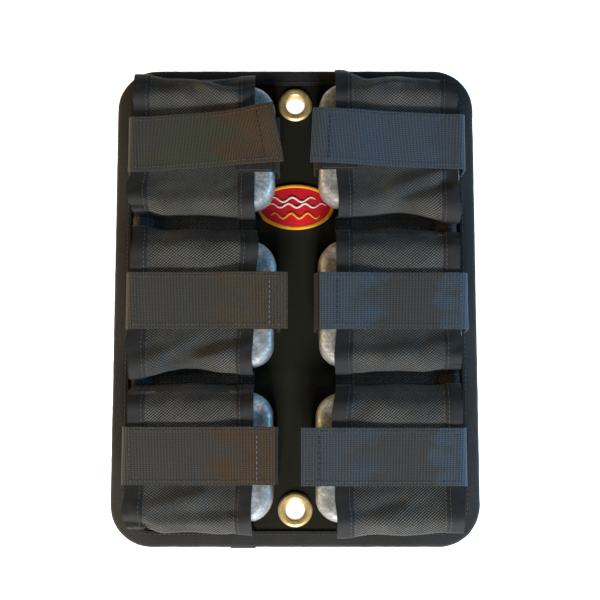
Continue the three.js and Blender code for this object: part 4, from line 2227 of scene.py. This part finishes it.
POCKETS = [
    Pocket(
        "top_left",
        Side.LEFT,
        1,
        DyeAndPaintedLight(GREY, OLIVE, BROWN),
        Hang(0.0504, 0.0476, 0.0440),
        Hang(0.0515, 0.0485, 0.0530),
        tugs=[
            Pull((-0.0145, 0.1262, 0.0325), (-0.0014, 0.0022, 0.0045), 0.032),
            Pull((-0.0120, 0.0890, 0.0325), (0.0030, 0.0, 0.0008), 0.040),
        ],
    ),
    Pocket(
        "middle_left",
        Side.LEFT,
        0,
        DyeAndPaintedLight(GREY, GREY, TAN),
        Hang(0.0505, 0.0462, 0.0535),
        block_turn=-2.0,
        light_thread=True,
    ),
    Pocket(
        "bottom_left",
        Side.LEFT,
        -1,
        DyeAndPaintedLight(GREY, GREY, BROWN),
        Hang(0.0495, 0.0475, 0.0425),
        light_thread=True,
    ),
    Pocket(
        "top_right",
        Side.RIGHT,
        1,
        DyeAndPaintedLight(SLATE, BLUE, BLUE),
        Hang(0.0490, 0.0464, 0.0535),
        Hang(0.0560, 0.0515, 0.0470),
    ),
    Pocket(
        "middle_right",
        Side.RIGHT,
        0,
        DyeAndPaintedLight(BLUE, GREY, BLUE),
        Hang(0.0495, 0.0480, 0.0462),
        block_turn=0.5,
    ),
    Pocket("bottom_right", Side.RIGHT, -1, DyeAndPaintedLight(BLUE, GREY, SLATE), Hang(0.0515, 0.0500, 0.0480)),
]

CREASES = {
    Side.LEFT: [
        Crease((-0.098, 0.153), (-0.062, 0.148), 0.0022, 0.007),
        Crease((-0.062, 0.148), (-0.038, 0.137), 0.0024, 0.008),
        Crease((-0.070, 0.155), (-0.046, 0.149), -0.0028, 0.006),
        Crease((-0.083, -0.042), (-0.0385, -0.0225), -0.0030, 0.008),
        Crease((-0.076, -0.0475), (-0.032, -0.0320), 0.0012, 0.006),
        Crease((-0.100, 0.046), (-0.037, 0.038), 0.0012, 0.007),
        Crease((-0.104, -0.138), (-0.062, -0.131), 0.0014, 0.006),
        Crease((-0.090, -0.144), (-0.040, -0.140), -0.0016, 0.006),
    ],
    Side.RIGHT: [
        Crease((0.041, 0.146), (0.068, 0.150), 0.0020, 0.007),
        Crease((0.068, 0.150), (0.100, 0.1505), 0.0020, 0.006),
        Crease((0.067, 0.0740), (0.098, 0.0860), 0.0020, 0.007),
        Crease((0.076, 0.0710), (0.102, 0.0800), -0.0016, 0.007),
        Crease((0.040, -0.0380), (0.100, -0.0340), 0.0010, 0.008),
        Crease((0.042, -0.142), (0.068, -0.134), -0.0016, 0.007),
    ],
}

TUGS = {
    Side.LEFT: [
        Pull((-0.0275, 0.0350, 0.0310), (0.0030, 0, 0), 0.030),
        Pull((-0.0275, -0.0400, 0.0310), (-0.0012, 0, 0), 0.022),
        Pull((-0.0275, -0.1400, 0.0310), (-0.0012, 0, 0), 0.026),
        Pull((-0.110, 0.0720, 0.0240), (-0.0036, 0, 0), 0.016),
        Pull((-0.110, 0.0400, 0.0240), (0.0012, 0, 0), 0.014),
        Pull((-0.110, -0.0300, 0.0280), (-0.0022, 0, 0), 0.016),
        Pull((-0.110, -0.1400, 0.0260), (-0.0026, 0, 0), 0.014),
        Pull((-0.106, 0.0560, 0.0065), (0, 0, 0.0080), 0.010),
        Pull((-0.108, -0.0530, 0.0065), (0, 0, 0.0060), 0.010),
    ],
    Side.RIGHT: [
        Pull((0.0275, -0.0820, 0.0310), (-0.0034, 0, 0), 0.028),
        Pull((0.0275, -0.0400, 0.0310), (-0.0016, 0, 0), 0.020),
        Pull((0.0275, 0.0700, 0.0310), (0.0016, 0, 0), 0.022),
        Pull((0.110, 0.0620, 0.0240), (0.0016, 0, 0), 0.014),
        Pull((0.110, 0.1450, 0.0260), (0.0010, 0, 0), 0.016),
        Pull((0.028, 0.0560, 0.0240), (0.0012, 0, 0), 0.016),
        Pull((0.028, -0.1300, 0.0280), (-0.0015, 0, 0), 0.018),
        Pull((0.106, 0.0520, 0.0065), (0, 0, 0.0070), 0.010),
        Pull((0.108, -0.0530, 0.0065), (0, 0, 0.0060), 0.010),
    ],
}


def main() -> None:
    """Builds the studio and the pad."""
    logging.basicConfig(level=logging.INFO, format="%(name)s %(message)s")
    Studio().build()
    WeightPad(POCKETS).build()


if __name__ == "__main__":
    main()
